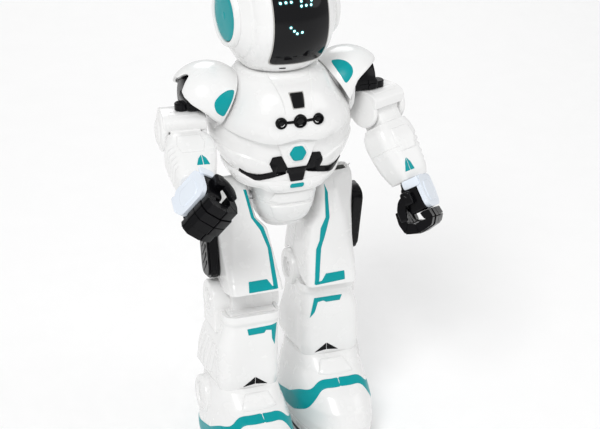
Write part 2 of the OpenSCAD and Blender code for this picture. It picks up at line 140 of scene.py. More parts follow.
def aimed(name, data, place, target):
    """A camera or a lamp at a place, pointing at a target."""
    obj = add_object(name, data)
    obj.location = place
    obj.rotation_mode = "QUATERNION"
    obj.rotation_quaternion = (Vector(target) - Vector(place)).to_track_quat("-Z", "Y")
    return obj


def make_camera():
    lens = bpy.data.cameras.new("camera")
    lens.sensor_width = 36
    lens.lens = CAMERA_LENS
    lens.clip_start = 0.01
    az, el = math.radians(CAMERA_AZ), math.radians(CAMERA_EL)
    back = Vector((math.sin(az) * math.cos(el), -math.cos(az) * math.cos(el), math.sin(el)))
    aim = Vector(CAMERA_AIM) * MM
    bpy.context.scene.camera = aimed("camera", lens, aim + back * CAMERA_D * MM, aim)


def area_light(name, place, size, power):
    light = bpy.data.lights.new(name, "AREA")
    light.shape = "DISK"
    light.size = size
    light.energy = power
    aimed(name, light, place, (0, 0, 0.14))


def make_stage():
    world = bpy.data.worlds.new("studio")
    bpy.context.scene.world = world
    world.use_nodes = True
    background = world.node_tree.nodes["Background"]
    plug(world.node_tree, background, Color=(1, 1, 1, 1), Strength=0.62)
    area_light("key", (-0.7, -0.9, 1.3), 0.6, 11)
    area_light("fill", (1.1, -0.7, 0.8), 0.9, 2.5)
    area_light("back", (0.3, 1.2, 1.1), 0.8, 5)
    bpy.context.scene.view_settings.view_transform = "Standard"
    line = np.linspace(-FLOOR_HALF, FLOOR_HALF, 24)
    verts, faces = grid_mesh(np.array([[(x, y, 0) for x in line] for y in line]))
    mesh = bpy.data.meshes.new("floor")
    mesh.from_pydata(verts.tolist(), [], faces)
    mesh.materials.append(FLOOR)
    add_object("floor", mesh)


# ---------- Materials ----------
def plug(tree, node, **inputs):
    """Sets a node's inputs, or links those whose value is another node's output. An
    underscore stands for a space in an input's name."""
    for name, value in inputs.items():
        socket = node.inputs[name.replace("_", " ")]
        if isinstance(value, bpy.types.NodeSocket):
            tree.links.new(value, socket)
        else:
            socket.default_value = value


def add_node(tree, kind, output, **inputs):
    """Adds a shader node and gives one of its outputs."""
    node = tree.nodes.new("ShaderNode" + kind)
    plug(tree, node, **inputs)
    return node.outputs[output]


def new_material(name):
    mat = bpy.data.materials.new(name)
    mat.use_nodes = True
    return mat, mat.node_tree, mat.node_tree.nodes["Principled BSDF"]


def noise(tree, scale, detail=3, stretch=(1, 1, 1)):
    """Noise fixed to the object, with its scale in features per metre."""
    coords = add_node(tree, "TexCoord", "Object")
    mapped = add_node(tree, "Mapping", "Vector", Vector=coords, Scale=stretch)
    return add_node(tree, "TexNoise", "Fac", Vector=mapped, Scale=scale, Detail=detail)


def tint(tree, value, colour, shade):
    """A colour that varies between itself and a darker shade."""
    ramp = tree.nodes.new("ShaderNodeValToRGB")
    for stop, place, tone in zip(ramp.color_ramp.elements, (0.32, 0.68), (shade, 1)):
        stop.position = place
        stop.color = (*(c * tone for c in colour), 1)
    tree.links.new(value, ramp.inputs["Fac"])
    return ramp.outputs["Color"]


def plastic(name, colour, rough, shade=0.94, coat=0.0, grain=1400, depth=0.00002, metal=0.0,
            stretch=(1, 1, 1), shine=0.5):
    """Moulded plastic: a slow drift of shade, a patchy gloss and a fine moulded grain."""
    mat, tree, shader = new_material(name)
    gloss = add_node(tree, "MapRange", "Result", Value=noise(tree, 120, 4), From_Min=0.3,
                     From_Max=0.7, To_Min=rough * 0.8, To_Max=rough * 1.25)
    bumps = add_node(tree, "Bump", "Normal", Height=noise(tree, grain, 2, stretch),
                     Distance=depth, Strength=0.35)
    plug(tree, shader, Base_Color=tint(tree, noise(tree, 34), colour, shade), Roughness=gloss,
         Normal=bumps, Coat_Weight=coat, Coat_Roughness=0.06, Metallic=metal,
         Specular_IOR_Level=shine)
    return mat


def glowing(name, colour, strength):
    """A light dot: its glow drifts unevenly between its colour and a darker shade."""
    mat, tree, shader = new_material(name)
    plug(tree, shader, Emission_Color=tint(tree, noise(tree, 2500, 2), colour, 0.75),
         Base_Color=(0.3, 0.8, 0.85, 1), Emission_Strength=strength, Roughness=0.3)
    return mat


WHITE = plastic("white_plastic", (0.87, 0.87, 0.865), 0.24, 0.975, coat=0.25)
CUFF = plastic("cool_white_plastic", (0.80, 0.86, 0.94), 0.22, 0.97, coat=0.25)
TEAL = plastic("teal_plastic", (0.001, 0.33, 0.355), 0.32, 0.93, coat=0.05, shine=0.15)
BLACK = plastic("black_plastic", (0.003, 0.003, 0.004), 0.2, 0.8, coat=0.03, shine=0.15)
VISOR = plastic("visor_tint", (0.004, 0.004, 0.005), 0.1, 0.85, coat=0.04, depth=0.000004,
                shine=0.2)
# Painted shade: a near-black colour laid where holes, slots and recesses in the shell fall into shade
HOLE_SHADE = plastic("painted_hole_shade", (0.004, 0.004, 0.005), 0.45, 0.8)
SEAM = plastic("seam_shadow", (0.47, 0.46, 0.44), 0.4, 0.92)
SOLE = plastic("dark_sole", (0.035, 0.037, 0.04), 0.55, 0.85, grain=900, depth=0.00006)
RUBBER = plastic("roller_rubber", (0.05, 0.05, 0.052), 0.75, 0.8, grain=1100, depth=0.00008)
NATURAL = plastic("natural_plastic", (0.62, 0.62, 0.58), 0.42, 0.95)
BOARD = plastic("solder_mask", (0.01, 0.09, 0.04), 0.35, 0.8, grain=700)
SLEEVE = plastic("shrink_sleeve", (0.03, 0.10, 0.33), 0.3, 0.85)
STEEL = plastic("turned_steel", (0.62, 0.63, 0.64), 0.3, 0.9, grain=2600, metal=1.0,
                stretch=(1, 1, 0.1))
GEAR = plastic("gear_acetal", (0.72, 0.69, 0.60), 0.35, 0.96)
GLOW = glowing("light_dot", (0.45, 1.0, 1.0), 3.2)
HALO = plastic("light_halo", (0.004, 0.10, 0.11), 0.2, 0.6)
FLOOR = plastic("studio_floor", (0.96, 0.96, 0.96), 0.6, 0.99, grain=60, depth=0.00005)


# ---------- Mesh tools ----------
def grid_mesh(rows, loop=False):
    """Vertices and quads of a grid of points; loop joins each row's end to its start."""
    n, m = rows.shape[:2]
    faces = []
    for i in range(n - 1):
        for j in range(m if loop else m - 1):
            k = (j + 1) % m
            faces.append((i * m + j, i * m + k, (i + 1) * m + k, (i + 1) * m + j))
    return rows.reshape(-1, 3), faces


def grid_normals(rows, loop):
    """Unit normals of a grid that runs anticlockwise along a row and upwards by rows."""
    if loop:
        along = np.roll(rows, -1, 1) - np.roll(rows, 1, 1)
    else:
        along = np.gradient(rows, axis=1)
    up = np.gradient(rows, axis=0)
    n = np.cross(along, up)
    return n / np.maximum(np.linalg.norm(n, axis=2, keepdims=True), 1e-9)


def joined(*meshes):
    """Several (vertices, faces) as one."""
    verts, faces, base = [], [], 0
    for v, f in meshes:
        verts.append(np.asarray(v, float))
        faces += [tuple(i + base for i in face) for face in f]
        base += len(v)
    return np.concatenate(verts), faces


def shell(rows, thick, loop=False):
    """A wall of even thickness behind a grid, closed along its rims."""
    n, m = rows.shape[:2]
    inner = rows - grid_normals(rows, loop) * thick
    verts, faces = joined(grid_mesh(rows, loop), grid_mesh(inner, loop))
    half = n * m
    faces = faces[:len(faces) // 2] + [f[::-1] for f in faces[len(faces) // 2:]]
    for j in range(m if loop else m - 1):
        k = (j + 1) % m
        faces.append((k, j, half + j, half + k))
        top = (n - 1) * m
        faces.append((top + j, top + k, half + top + k, half + top + j))
    if not loop:
        for i in range(n - 1):
            a, b = i * m, (i + 1) * m
            faces.append((a, b, half + b, half + a))
            faces.append((b + m - 1, a + m - 1, half + a + m - 1, half + b + m - 1))
    return verts, faces


def capped(rows, fillet=0.0, steps=5):
    """A solid from a stack of closed rings, with rounded edges at both ends."""
    if fillet:
        rows = np.concatenate([end_rounds(rows, fillet, steps)[::-1], rows,
                               end_rounds(rows[::-1], fillet, steps)])
    verts, faces = grid_mesh(rows, True)
    n, m = rows.shape[:2]
    verts = np.concatenate([verts, [rows[0].mean(0)], [rows[-1].mean(0)]])
    low, high = n * m, n * m + 1
    for j in range(m):
        k = (j + 1) % m
        faces.append((k, j, low))
        faces.append(((n - 1) * m + j, (n - 1) * m + k, high))
    return verts, faces


def end_rounds(rows, r, steps):
    """Rings that turn the first ring of a stack over a rounded edge."""
    ring = rows[0]
    centre = ring.mean(0)
    out = centre - rows[1].mean(0)
    out = out / max(np.linalg.norm(out), 1e-9)
    spoke = ring - centre
    reach = np.linalg.norm(spoke, axis=1, keepdims=True)
    rounds = []
    for k in range(1, steps + 1):
        a = math.pi / 2 * k / steps
        shrink = np.maximum(reach - r * (1 - math.cos(a)), 0.1) / reach
        rounds.append(centre + spoke * shrink + out * r * math.sin(a))
    last = rounds[-1]
    rounds.append(centre + out * r + (last - last.mean(0)) * 0.5)
    return np.array(rounds)


def between(rows, at, soft):
    """Straight lines between stations, with each bend rounded over a length soft.
    A station is [place, value, value, ...], in rising order of place."""
    rows = np.array(rows, float)
    near = np.asarray(at, float)[:, None] + np.linspace(-soft, soft, 9)
    near = np.clip(near, rows[0, 0], rows[-1, 0])
    return np.stack([np.interp(near, rows[:, 0], c).mean(1) for c in rows[:, 1:].T], 1)


def heights(low, high, step, lines=(), width=0.3):
    """Even heights, with a close group of three at each groove line."""
    z = np.arange(low, high + step / 2, step)
    z = z[[all(abs(v - g) > 1.6 * width for g in lines) for v in z]]
    extra = [g + k * width for g in lines for k in (-1, 0, 1)]
    return np.array(sorted([*z, *extra]))


def smooth_step(x):
    x = np.clip(x, 0, 1)
    return x * x * (3 - 2 * x)


def rounded_rings(corners, cut, per_corner=7, per_edge=8, most=0.48):
    """Closed rings from polygons (rings, corners, 2) whose corners are cut round. A cut takes
    up at most a share of each edge."""
    def toward(neighbour):
        way = neighbour - corners
        length = np.linalg.norm(way, axis=2, keepdims=True)
        return corners + way / length * np.minimum(cut, length * most)

    start, end = toward(np.roll(corners, 1, 1)), toward(np.roll(corners, -1, 1))
    points = []
    for i in range(corners.shape[1]):
        for t in np.linspace(0, 1, per_corner):
            points.append((1 - t) ** 2 * start[:, i] + 2 * t * (1 - t) * corners[:, i]
                          + t * t * end[:, i])
        following = start[:, (i + 1) % corners.shape[1]]
        for t in np.linspace(0, 1, per_edge + 2)[1:-1]:
            points.append(end[:, i] * (1 - t) + following * t)
    return np.stack(points, 1)


def soft_outline(points, r, samples=5):
    """A closed outline with its corners cut round."""
    return rounded_rings(np.array([points], float), r, samples, 0, 0.45)[0]


def raised(flat, z):
    """Flat rings at their heights."""
    return np.concatenate([flat, np.broadcast_to(z[:, None, None], (*flat.shape[:2], 1))], 2)


def panel_rings(stations, z, soft, cut):
    """Rings of a moulded limb with flat faces. A station is
    [z, inner x, outer x, front, back, front chamfer in, front chamfer out, its depth,
    back chamfer]."""
    xi, xo, yf, yb, ci, co, d, cb = between(stations, z, soft).T
    corners = np.stack([xi + ci, -yf, xo - co, -yf, xo, d - yf, xo, yb - cb, xo - cb, yb, xi + cb,
                        yb, xi, yb - cb, xi, d - yf], 1)
    return raised(rounded_rings(corners.reshape(-1, 8, 2), cut), z)


def oval(section, a):
    """Points of a superellipse: middle x, middle y, half width, reach forward, reach back,
    power."""
    cx, cy, w, f, b, power = section
    cos, sin = np.cos(a), np.sin(a)
    x = cx + w * np.sign(cos) * np.abs(cos) ** (2 / power)
    y = cy + np.where(sin < 0, f, b) * np.sign(sin) * np.abs(sin) ** (2 / power)
    return np.stack([x, y], -1)


def oval_rings(sections, z, soft, count, start=-90):
    """Rings of a rounded body, from rows of [z, and what oval() takes]."""
    a = np.radians(start + 360 * np.arange(count) / count)
    return raised(oval(between(sections, z, soft).T[..., None], a[None]), z)


def groove(rows, where, depth):
    """Presses lines into a grid: where runs from 0 off a line to 1 on it."""
    return rows - grid_normals(rows, True) * (where * depth)[..., None]


# ---------- Pieces ----------
def soften(obj, width, segments, angle):
    edge = obj.modifiers.new("edge", "BEVEL")
    edge.width = width * MM
    edge.segments = segments
    edge.limit_method = "ANGLE"
    edge.angle_limit = math.radians(angle)


def cad_finish(material, *nodes, bevel=0.25):
    """A CAD node that keeps its own shape: a real material and softened edges."""
    for name in nodes:
        node = frame["nodes"][name]
        node.data.materials.clear()
        node.data.materials.append(material)
        node.data.polygons.foreach_set("use_smooth", [True] * len(node.data.polygons))
        weld = node.modifiers.new("weld", "WELD")
        weld.merge_threshold = 0.00001
        soften(node, bevel, 2, 40)


def resampled(loop, step):
    out = []
    for a, b in zip(loop, np.roll(loop, -1, 0)):
        n = max(1, math.ceil(np.linalg.norm(b - a) / step))
        out += [a + (b - a) * k / n for k in range(n)]
    return np.array(out)


def edge_distance(points, loop):
    """Distance of each point to a closed outline, negative outside it."""
    a, b = loop, np.roll(loop, -1, 0)
    d = b - a
    rel = points[:, None] - a[None]
    t = np.clip((rel * d).sum(2) / np.maximum((d * d).sum(1), 1e-12), 0, 1)
    dist = np.linalg.norm(rel - t[..., None] * d, axis=2).min(1)
    y = points[:, None, 1]
    crosses = (a[:, 1] > y) != (b[:, 1] > y)
    slope = np.where(d[:, 1] == 0, 1e-12, d[:, 1])
    x = a[:, 0] + (y - a[:, 1]) * d[:, 0] / slope
    inside = (crosses & (points[:, None, 0] < x)).sum(1) % 2 == 1
    return np.where(inside, dist, -dist)


def patch_points(loop, edge, step):
    """An outline, two rings just inside it and a grid that fills the rest."""
    (u1, v1), (u2, v2) = loop.min(0), loop.max(0)
    grid = np.array([(u, v) for u in np.arange(u1, u2, step) for v in np.arange(v1, v2, step)])
    ahead = np.roll(loop, -1, 0) - np.roll(loop, 1, 0)
    inward = np.stack([-ahead[:, 1], ahead[:, 0]], 1)
    inward /= np.maximum(np.linalg.norm(inward, axis=1, keepdims=True), 1e-9)
    insets = []
    for inset in (edge * 0.35, edge):
        ring = loop + inward * inset
        if edge_distance(ring, loop).mean() < 0:
            ring = loop - inward * inset
        insets.append(ring[edge_distance(ring, loop) > inset * 0.8])
    grid = grid.reshape(-1, 2)
    return np.concatenate([loop, *insets, grid[edge_distance(grid, loop) > edge + step * 0.35]])


class Part:
    """A place to draw on, the body that its pieces ride on, and how their names start."""

    def __init__(self, place, body, prefix=""):
        self.place, self.body, self.prefix = place, body, prefix

    def piece(self, name, mesh, material, node="", sharp=38, bevel=0.0):
        """Makes an object from (vertices, faces) in millimetres, in place of a CAD node."""
        verts, faces = mesh
        spin = self.place[:3, :3]
        if np.linalg.det(spin) < 0:
            faces = [f[::-1] for f in faces]
        verts = (np.asarray(verts, float) @ spin.T + self.place[:3, 3]) * MM
        data = bpy.data.meshes.new(self.prefix + name)
        data.from_pydata(verts.tolist(), [], faces)
        data.validate()
        data.polygons.foreach_set("use_smooth", [True] * len(data.polygons))
        data.set_sharp_from_angle(angle=math.radians(sharp))
        data.materials.append(material)
        obj = add_object(self.prefix + name, data)
        if bevel:
            soften(obj, bevel, 3, sharp)
        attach(obj, self.body)
        if node:
            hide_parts(self.prefix + node)
        return obj

    def patch(self, name, outline, look, material, lift, edge, corner=0.5, step=0.8, depth=0.35,
              node=""):
        """A thin piece with an exact outline on a surface. look(u, v) gives the points and
        normals in the part's own millimetres; the outline's edge rolls down by edge."""
        loop = resampled(soft_outline(outline, corner), step * 0.6)
        flat = patch_points(loop, edge, step)
        outer = [list(range(len(loop)))]
        done = delaunay_2d_cdt([Vector(p) for p in flat], [], outer, 1, 1e-6)
        uv = np.array([tuple(p) for p in done[0]])
        tris = [tuple(f) for f in done[2]]
        points, normals = look(uv[:, 0], uv[:, 1])
        from_edge = np.maximum(edge_distance(uv, loop), 0)
        rise = np.sqrt(np.clip(from_edge / edge, 0, 1)) * edge
        top = points + normals * (lift - edge + rise)[:, None]
        base = points - normals * depth
        a, b, c = (top[[t[k] for t in tris]] for k in range(3))
        if (np.cross(b - a, c - a) * normals[[t[0] for t in tris]]).sum() < 0:
            tris = [t[::-1] for t in tris]
        n = len(uv)
        ways = {(t[k], t[(k + 1) % 3]): None for t in tris for k in range(3)}
        faces = tris + [tuple(i + n for i in t[::-1]) for t in tris]
        faces += [(j, i, i + n, j + n) for i, j in ways if (j, i) not in ways]
        return self.piece(name, (np.concatenate([top, base]), faces), material, node)

    def look(self, *targets, toward=(0, 1, 0)):
        """What patch() looks through: rays along a direction of the part's own frame onto
        finished pieces. u and v are the two axes across that direction."""
        graph = bpy.context.evaluated_depsgraph_get()
        trees = [BVHTree.FromObject(t, graph) for t in targets]
        spin, shift = self.place[:3, :3], self.place[:3, 3]
        back = np.linalg.inv(spin)
        way = np.array(toward, float)
        ray = Vector(spin @ way).normalized()
        axes = [k for k in range(3) if not toward[k]]

        def locate(u, v):
            points, normals = [], []
            for across in zip(u, v):
                p = way * RAY_START
                p[axes] += across
                source = Vector((spin @ p + shift) * MM)
                hits = [h for h in (t.ray_cast(source, ray) for t in trees) if h[0] is not None]
                if not hits:
                    raise ValueError("nothing under the patch at %.1f, %.1f" % across)
                where, normal, _, _ = min(hits, key=lambda h: h[3])
                points.append(back @ (np.array(where) / MM - shift))
                out = back @ np.array(normal)
                normals.append(out if out @ way < 0 else -out)
            return np.array(points), np.array(normals)
        return locate


# ---------- Outlines and solids ----------
def mirrored(*half):
    """A closed outline from its right half, which runs from one end to the other."""
    (x, z), *rest = half
    return [(-x, z), (x, z), *rest, *((-a, b) for a, b in reversed(rest))]


def circle(x, z, r, count):
    return [(x + r * math.cos(a), z + r * math.sin(a)) for a in TURN * np.arange(count) / count]


def turned(profile, count=64, axis="X"):
    """A solid of revolution from (place along the axis, radius) points."""
    a = TURN * np.arange(count) / count
    rows = np.array([[(s, r * math.cos(t), r * math.sin(t)) for t in a] for s, r in profile])
    verts, faces = capped(rows)
    if axis == "Z":
        verts = verts[:, [1, 2, 0]]
    if axis == "-Y":
        verts = np.stack([verts[:, 1], -verts[:, 0], verts[:, 2]], 1)
    return verts, faces


def disc(s1, s2, r, edge, count=72):
    """A plain disc from s1 to s2 along X with both edges rounded."""
    a = np.linspace(0, math.pi / 2, 5)
    low = [(s1 + edge * (1 - math.sin(t)), r - edge * (1 - math.cos(t))) for t in a[::-1]]
    high = [(s2 - edge * (1 - math.sin(t)), r - edge * (1 - math.cos(t))) for t in a]
    return turned(low + high, count)


def shifted(mesh, x, y, z):
    return mesh[0] + np.array([x, y, z]), mesh[1]


def flipped(mesh):
    """A mesh mirrored across X."""
    return mesh[0] * [-1, 1, 1], [f[::-1] for f in mesh[1]]


def along_x(mesh):
    """Turns a prism along Z, drawn as (y, z), to lie along X."""
    return mesh[0][:, [2, 0, 1]], mesh[1]


def along_y(mesh):
    """Turns a prism along Z, drawn as (x, z), to lie along Y."""
    return mesh[0][:, [0, 2, 1]], [f[::-1] for f in mesh[1]]


def rounded_prism(outline, low, high, edge, corner=0.6, taper=0.0):
    """A flat outline given thickness along Z, with rounded edges."""
    loop = soft_outline(outline, corner)
    x, y = loop.T
    if ((np.roll(x, -1) - x) * (np.roll(y, -1) + y)).sum() > 0:
        loop = loop[::-1]
    centre = loop.mean(0)
    rows = []
    for s, grow in ((low + edge, 1), ((low + high) / 2, 1), (high - edge, 1 - taper)):
        rows.append(np.column_stack([centre + (loop - centre) * grow, np.full(len(loop), s)]))
    return capped(np.array(rows), fillet=edge, steps=4)


def slab(x, y, z, edge=0.4, corner=1.0):
    """A block with rounded edges, seen along Y: x, y and z are (low, high)."""
    outline = [(x[0], z[0]), (x[1], z[0]), (x[1], z[1]), (x[0], z[1])]
    return along_y(rounded_prism(outline, y[0], y[1], edge, corner))


def prism(loop, low, high):
    """A flat outline, hollow curves allowed, given thickness along Z."""
    loop = np.asarray(loop, float)
    x, y = loop.T
    if (x * np.roll(y, -1) - np.roll(x, -1) * y).sum() < 0:
        loop = loop[::-1]
    n = len(loop)
    faces = delaunay_2d_cdt([Vector(p) for p in loop], [], [list(range(n))], 1, 1e-7)[2]
    faces = [tuple(t) for t in faces]
    a, b, c = (loop[[t[k] for t in faces]] for k in range(3))
    if ((b - a)[:, 0] * (c - a)[:, 1] - (b - a)[:, 1] * (c - a)[:, 0]).sum() <= 0:
        faces = [t[::-1] for t in faces]
    verts = np.concatenate([np.column_stack([loop, np.full(n, z)]) for z in (low, high)])
    sides = [(j, (j + 1) % n, n + (j + 1) % n, n + j) for j in range(n)]
    return verts, [t[::-1] for t in faces] + [tuple(i + n for i in t) for t in faces] + sides


# ---------- Torso ----------
# [z, middle x, middle y, half width, reach forward, reach back, power]
TORSO = [
    [156.6, 0, -3, 26.6, 26, 22, 2.7], [162, 0, -3, 31.2, 27.6, 24, 2.6],
    [169, 0, -3, 34.6, 29.4, 25.5, 2.5], [176, 0, -3, 36, 31, 27, 2.4], [183, 0, -3, 34.6, 32, 28, 2.35],
    [190, 0, -3, 31, 31.6, 28, 2.3], [197, 0, -3, 26.5, 29, 26.5, 2.25],
    [202, 0, -3, 23.6, 24.5, 24, 2.2], [205.2, 0, -3, 21, 18.6, 21, 2.2], [206, 0, -3, 17, 14.5, 17, 2.2]]
CHEST_LIP = [[0, 176.5], [5, 175.6], [10, 174.6], [15, 175], [20, 176.2], [28, 178.8], [36, 182]]
RIB_LINE = [[0, 163], [13, 163.5], [23, 167.5], [31, 169.6], [36, 173]]
SIDE_SEAM_GAP = 0.12


def torso_shape(p):
    """How far the chest, channel and rib panels stand out of the plain torso."""
    x, z = np.abs(p[..., 0]), p[..., 2]
    front = smooth_step((-3 - p[..., 1]) / 9)
    lip = between(CHEST_LIP, x.ravel(), 1.5)[:, 0].reshape(x.shape)
    below = smooth_step((lip + 0.7 - z) / 1.7)
    back_out = 1 - smooth_step((lip - 2 - z) / 13)
    side_fade = 1 - smooth_step((x - 29) / 7)
    out = -2.3 * below * (0.2 + 0.8 * back_out) * front * side_fade
    swell = np.exp(-((z - lip - 4.5) / 4.5) ** 2) * np.exp(-((x - 14) / 12) ** 2)
    out += 1.1 * swell * front
    rib = between(RIB_LINE, x.ravel(), 1.2)[:, 0].reshape(x.shape)
    plate = smooth_step((rib - z) / 0.7) * smooth_step((z - 156) / 1.5)
    out += 0.85 * plate * front * smooth_step((x - 10) / 1)
    half = 7.4 + 0.09 * np.clip(z - 192, 0, 20) ** 1.4
    channel = smooth_step((half - x) / 0.9) * smooth_step((z - 189.5) / 1.2)
    out -= 0.75 * channel * front
    tongue = smooth_step((4.2 + 0.42 * (z - 158) - x) / 0.9) * smooth_step((174.6 - z) / 1.2)
    out += 1.0 * tongue * smooth_step((z - 157.4) / 1.2) * front
    return out


def torso_half(front):
    z = np.concatenate([np.arange(156.6, 204.9, 0.28), np.linspace(205, 206, 7)])
    rows = oval_rings(TORSO, z, 2.2, 1000, 180 if front else 0)[:, :501]
    if front:
        rows = rows + grid_normals(rows, False) * torso_shape(rows)[..., None]
    rows[:, (0, -1), 1] -= SIDE_SEAM_GAP if front else -SIDE_SEAM_GAP
    return rows


def make_torso():
    torso = Part(ROOT, "root")
    front = torso.piece("chest_shell", shell(torso_half(True), WALL), WHITE, "torso_front_shell",
                        bevel=0.3)
    back = torso.piece("back_shell", shell(torso_half(False), WALL), WHITE, "torso_back_shell",
                       bevel=0.3)
    make_chest_details(torso, front)
    make_waist(torso, front)
    make_pelvis(torso)
    make_back_details(torso, back)


HEX_R = 4.7
BUTTON_Z = 169
CUPS = [(-9.2, 186.3, 2.9), (0.2, 186.6, 3.4), (9.6, 186.4, 2.9)]
# Steps of (distance out of the chest, cut from the cup's radius)
CUP = [(-2, 0), (0.5, 0), (0.95, 0.18), (1.15, 0.5), (1.1, 0.8), (0.6, 1), (0.2, 1.2)]
LENS = [(-0.2, 1.3), (0.35, 1.45), (0.6, 1.75)]


def cup_part(look, place, steps, out, r):
    """Steps turned about the axis of a sensor cup, ending at a distance out and a radius."""
    x, z, cup_r = place
    y = -look([x], [z])[0][0, 1]
    profile = [(y + step, cup_r - cut) for step, cut in steps] + [(y + out, r)]
    return shifted(turned(profile, axis="-Y"), x, 0, z)


def make_chest_details(torso, front):
    look = torso.look(front)
    window = [(-3.4, 199.2), (3.5, 199.2), (3.1, 192.6), (-2.5, 192.6)]
    torso.patch("sensor_glass", window, look, VISOR, 0.45, 0.3, 0.9, node="sensor_window")
    rim = np.array(window) * 1.12 - np.array([0.06, 196 * 0.12])
    torso.patch("sensor_glass_rim", rim, look, SEAM, 0.05, 0.04)
    cups = [cup_part(look, place, CUP, 0.15, 0.3) for place in CUPS]
    torso.piece("sensor_cups", joined(*cups), BLACK, "sensor_trim")
    bars = [(-9, 187.1), (9.4, 187.3), (9.4, 185.9), (-9, 185.7)]
    torso.patch("sensor_bars", bars, look, BLACK, 0.5, 0.25)
    for k, place in enumerate(CUPS):
        torso.piece(f"sensor_lens_{k + 1}", cup_part(look, place, LENS, 0.68, 0.2), VISOR)
    hexagon = circle(0, 0, HEX_R, 6)
    verts, faces = rounded_prism(hexagon, 0, 3.4, 0.9, 1.1, 0.05)
    y = look([0], [BUTTON_Z])[0][0, 1] + 2
    verts = np.stack([verts[:, 0], y - verts[:, 2], verts[:, 1] + BUTTON_Z], 1)
    Part(ROOT, "mode_button").piece("walk_button", (verts, faces), TEAL, "mode_button")
    wide = [(1.22 * x, 1.22 * z + BUTTON_Z) for x, z in hexagon]
    torso.patch("walk_button_rim", wide, look, WHITE, 0.5, 0.4, 1.2)


BELT = [(5.2, 161.6), (11.8, 159.9), (18.6, 157.9), (23.3, 158.4), (26.4, 160.2), (25.6, 155.2),
        (22.6, 154.3), (18.2, 154.8), (10.6, 156.8), (5.2, 158)]
WAIST_BLOCK = [(4.4, 160.4), (7.9, 167.8), (12.3, 167.3), (13.8, 163.6), (11.6, 158.9), (6.2, 158.8)]
WAIST = [[152.8, 0, -3, 26.6, 26.4, 21.8, 2.7], [155, 0, -3, 27.2, 26.9, 22.2, 2.7],
         [158, 0, -3, 28.4, 26.9, 22.4, 2.7]]


def make_waist(torso, front):
    """The waist band, and the black inlays that run round it under the hexagon."""
    rows = oval_rings(WAIST, np.arange(152.8, 158.05, 0.25), 0.3, 320)
    band = torso.piece("waist_band", capped(rows, 0.2), WHITE, "waist_belt")
    look = torso.look(front, band)
    for side, sign in SIGN.items():
        for name, shape, lift in (("belt_inlay_", BELT, 0.55), ("waist_block_", WAIST_BLOCK, 0.7)):
            outline = [(sign * x, z) for x, z in shape]
            torso.patch(name + side, outline, look, BLACK, lift, 0.3, depth=0.9)
    keystone = mirrored((5.2, 161.4), (3.2, 153.7))
    torso.patch("waist_keystone", keystone, look, BLACK, 0.85, 0.3, depth=1.2)


SKIRT = [[149, 0, -3, 25.4, 25.6, 20.8, 2.7], [150.4, 0, -3, 26.8, 26.8, 21.9, 2.7],
         [152.6, 0, -3, 27.6, 27.4, 22.6, 2.7], [153.6, 0, -3, 27.2, 27, 22.2, 2.7]]
PELVIS = [[124.8, 0, -4, 10.2, 11.2, 11, 2.6], [128, 0, -4, 13, 16, 14, 2.8],
          [134, 0, -4, 14.8, 19.2, 17, 3], [141, 0, -4, 15.8, 21.6, 19, 3],
          [147, 0, -4, 16.6, 23, 19.5, 3], [149.6, 0, -4, 16.8, 23.6, 20, 3]]
PELVIS_LINE = 139.5


def make_pelvis(torso):
    rows = oval_rings(SKIRT, np.append(np.arange(149.0, 153.6, 0.3), 153.6), 0.7, 360)
    x, y, z = np.moveaxis(rows.copy(), 2, 0)
    x = np.abs(x)
    share = (153.6 - z) / 4.6
    flank = smooth_step((x - 15) / 12) * (1 - share)
    dip = smooth_step((x - 14) / 3) - np.exp(-(x / 13) ** 4) * (y < -10)
    rows[..., 2] += 1.4 * dip * share + 4.4 * flank
    rows[..., 0] *= 1 + 0.07 * flank
    skirt = torso.piece("waist_skirt", capped(rows, 0.5), WHITE)
    rows = oval_rings(PELVIS, heights(124.8, 149.4, 0.4, (PELVIS_LINE,)), 1.4, 360)
    rows = groove(rows, np.abs(rows[..., 2] - PELVIS_LINE) < 0.05, 0.3)
    block = torso.piece("pelvis_block", capped(rows, 1.2), WHITE, "pelvis_shell")
    look = torso.look(skirt, block)
    plate = mirrored((9.5, 146.4), (12, 141.4), (7.4, 140.4))
    torso.patch("pelvis_upper_panel", plate, look, WHITE, 0.5, 0.4)
    plate = mirrored((11.2, 138.4), (8.4, 130.4), (4.6, 127.6))
    torso.patch("pelvis_lower_panel", plate, look, WHITE, 0.45, 0.4)
    for side, sign in SIGN.items():
        wing = [(sign * x, z) for x, z in ((7.5, 152.4), (14.5, 152.2), (12.2, 148.9), (6.4, 148.6))]
        torso.patch("skirt_panel_" + side, wing, look, WHITE, 0.35, 0.3)
    pill = [(-3.6, 150.9), (-3, 152.4), (3.6, 152.4), (3.9, 151.3), (3.2, 150.1), (-3, 150.1)]
    torso.patch("status_light", pill, look, TEAL, 0.5, 0.35, 0.8, node="status_lens")


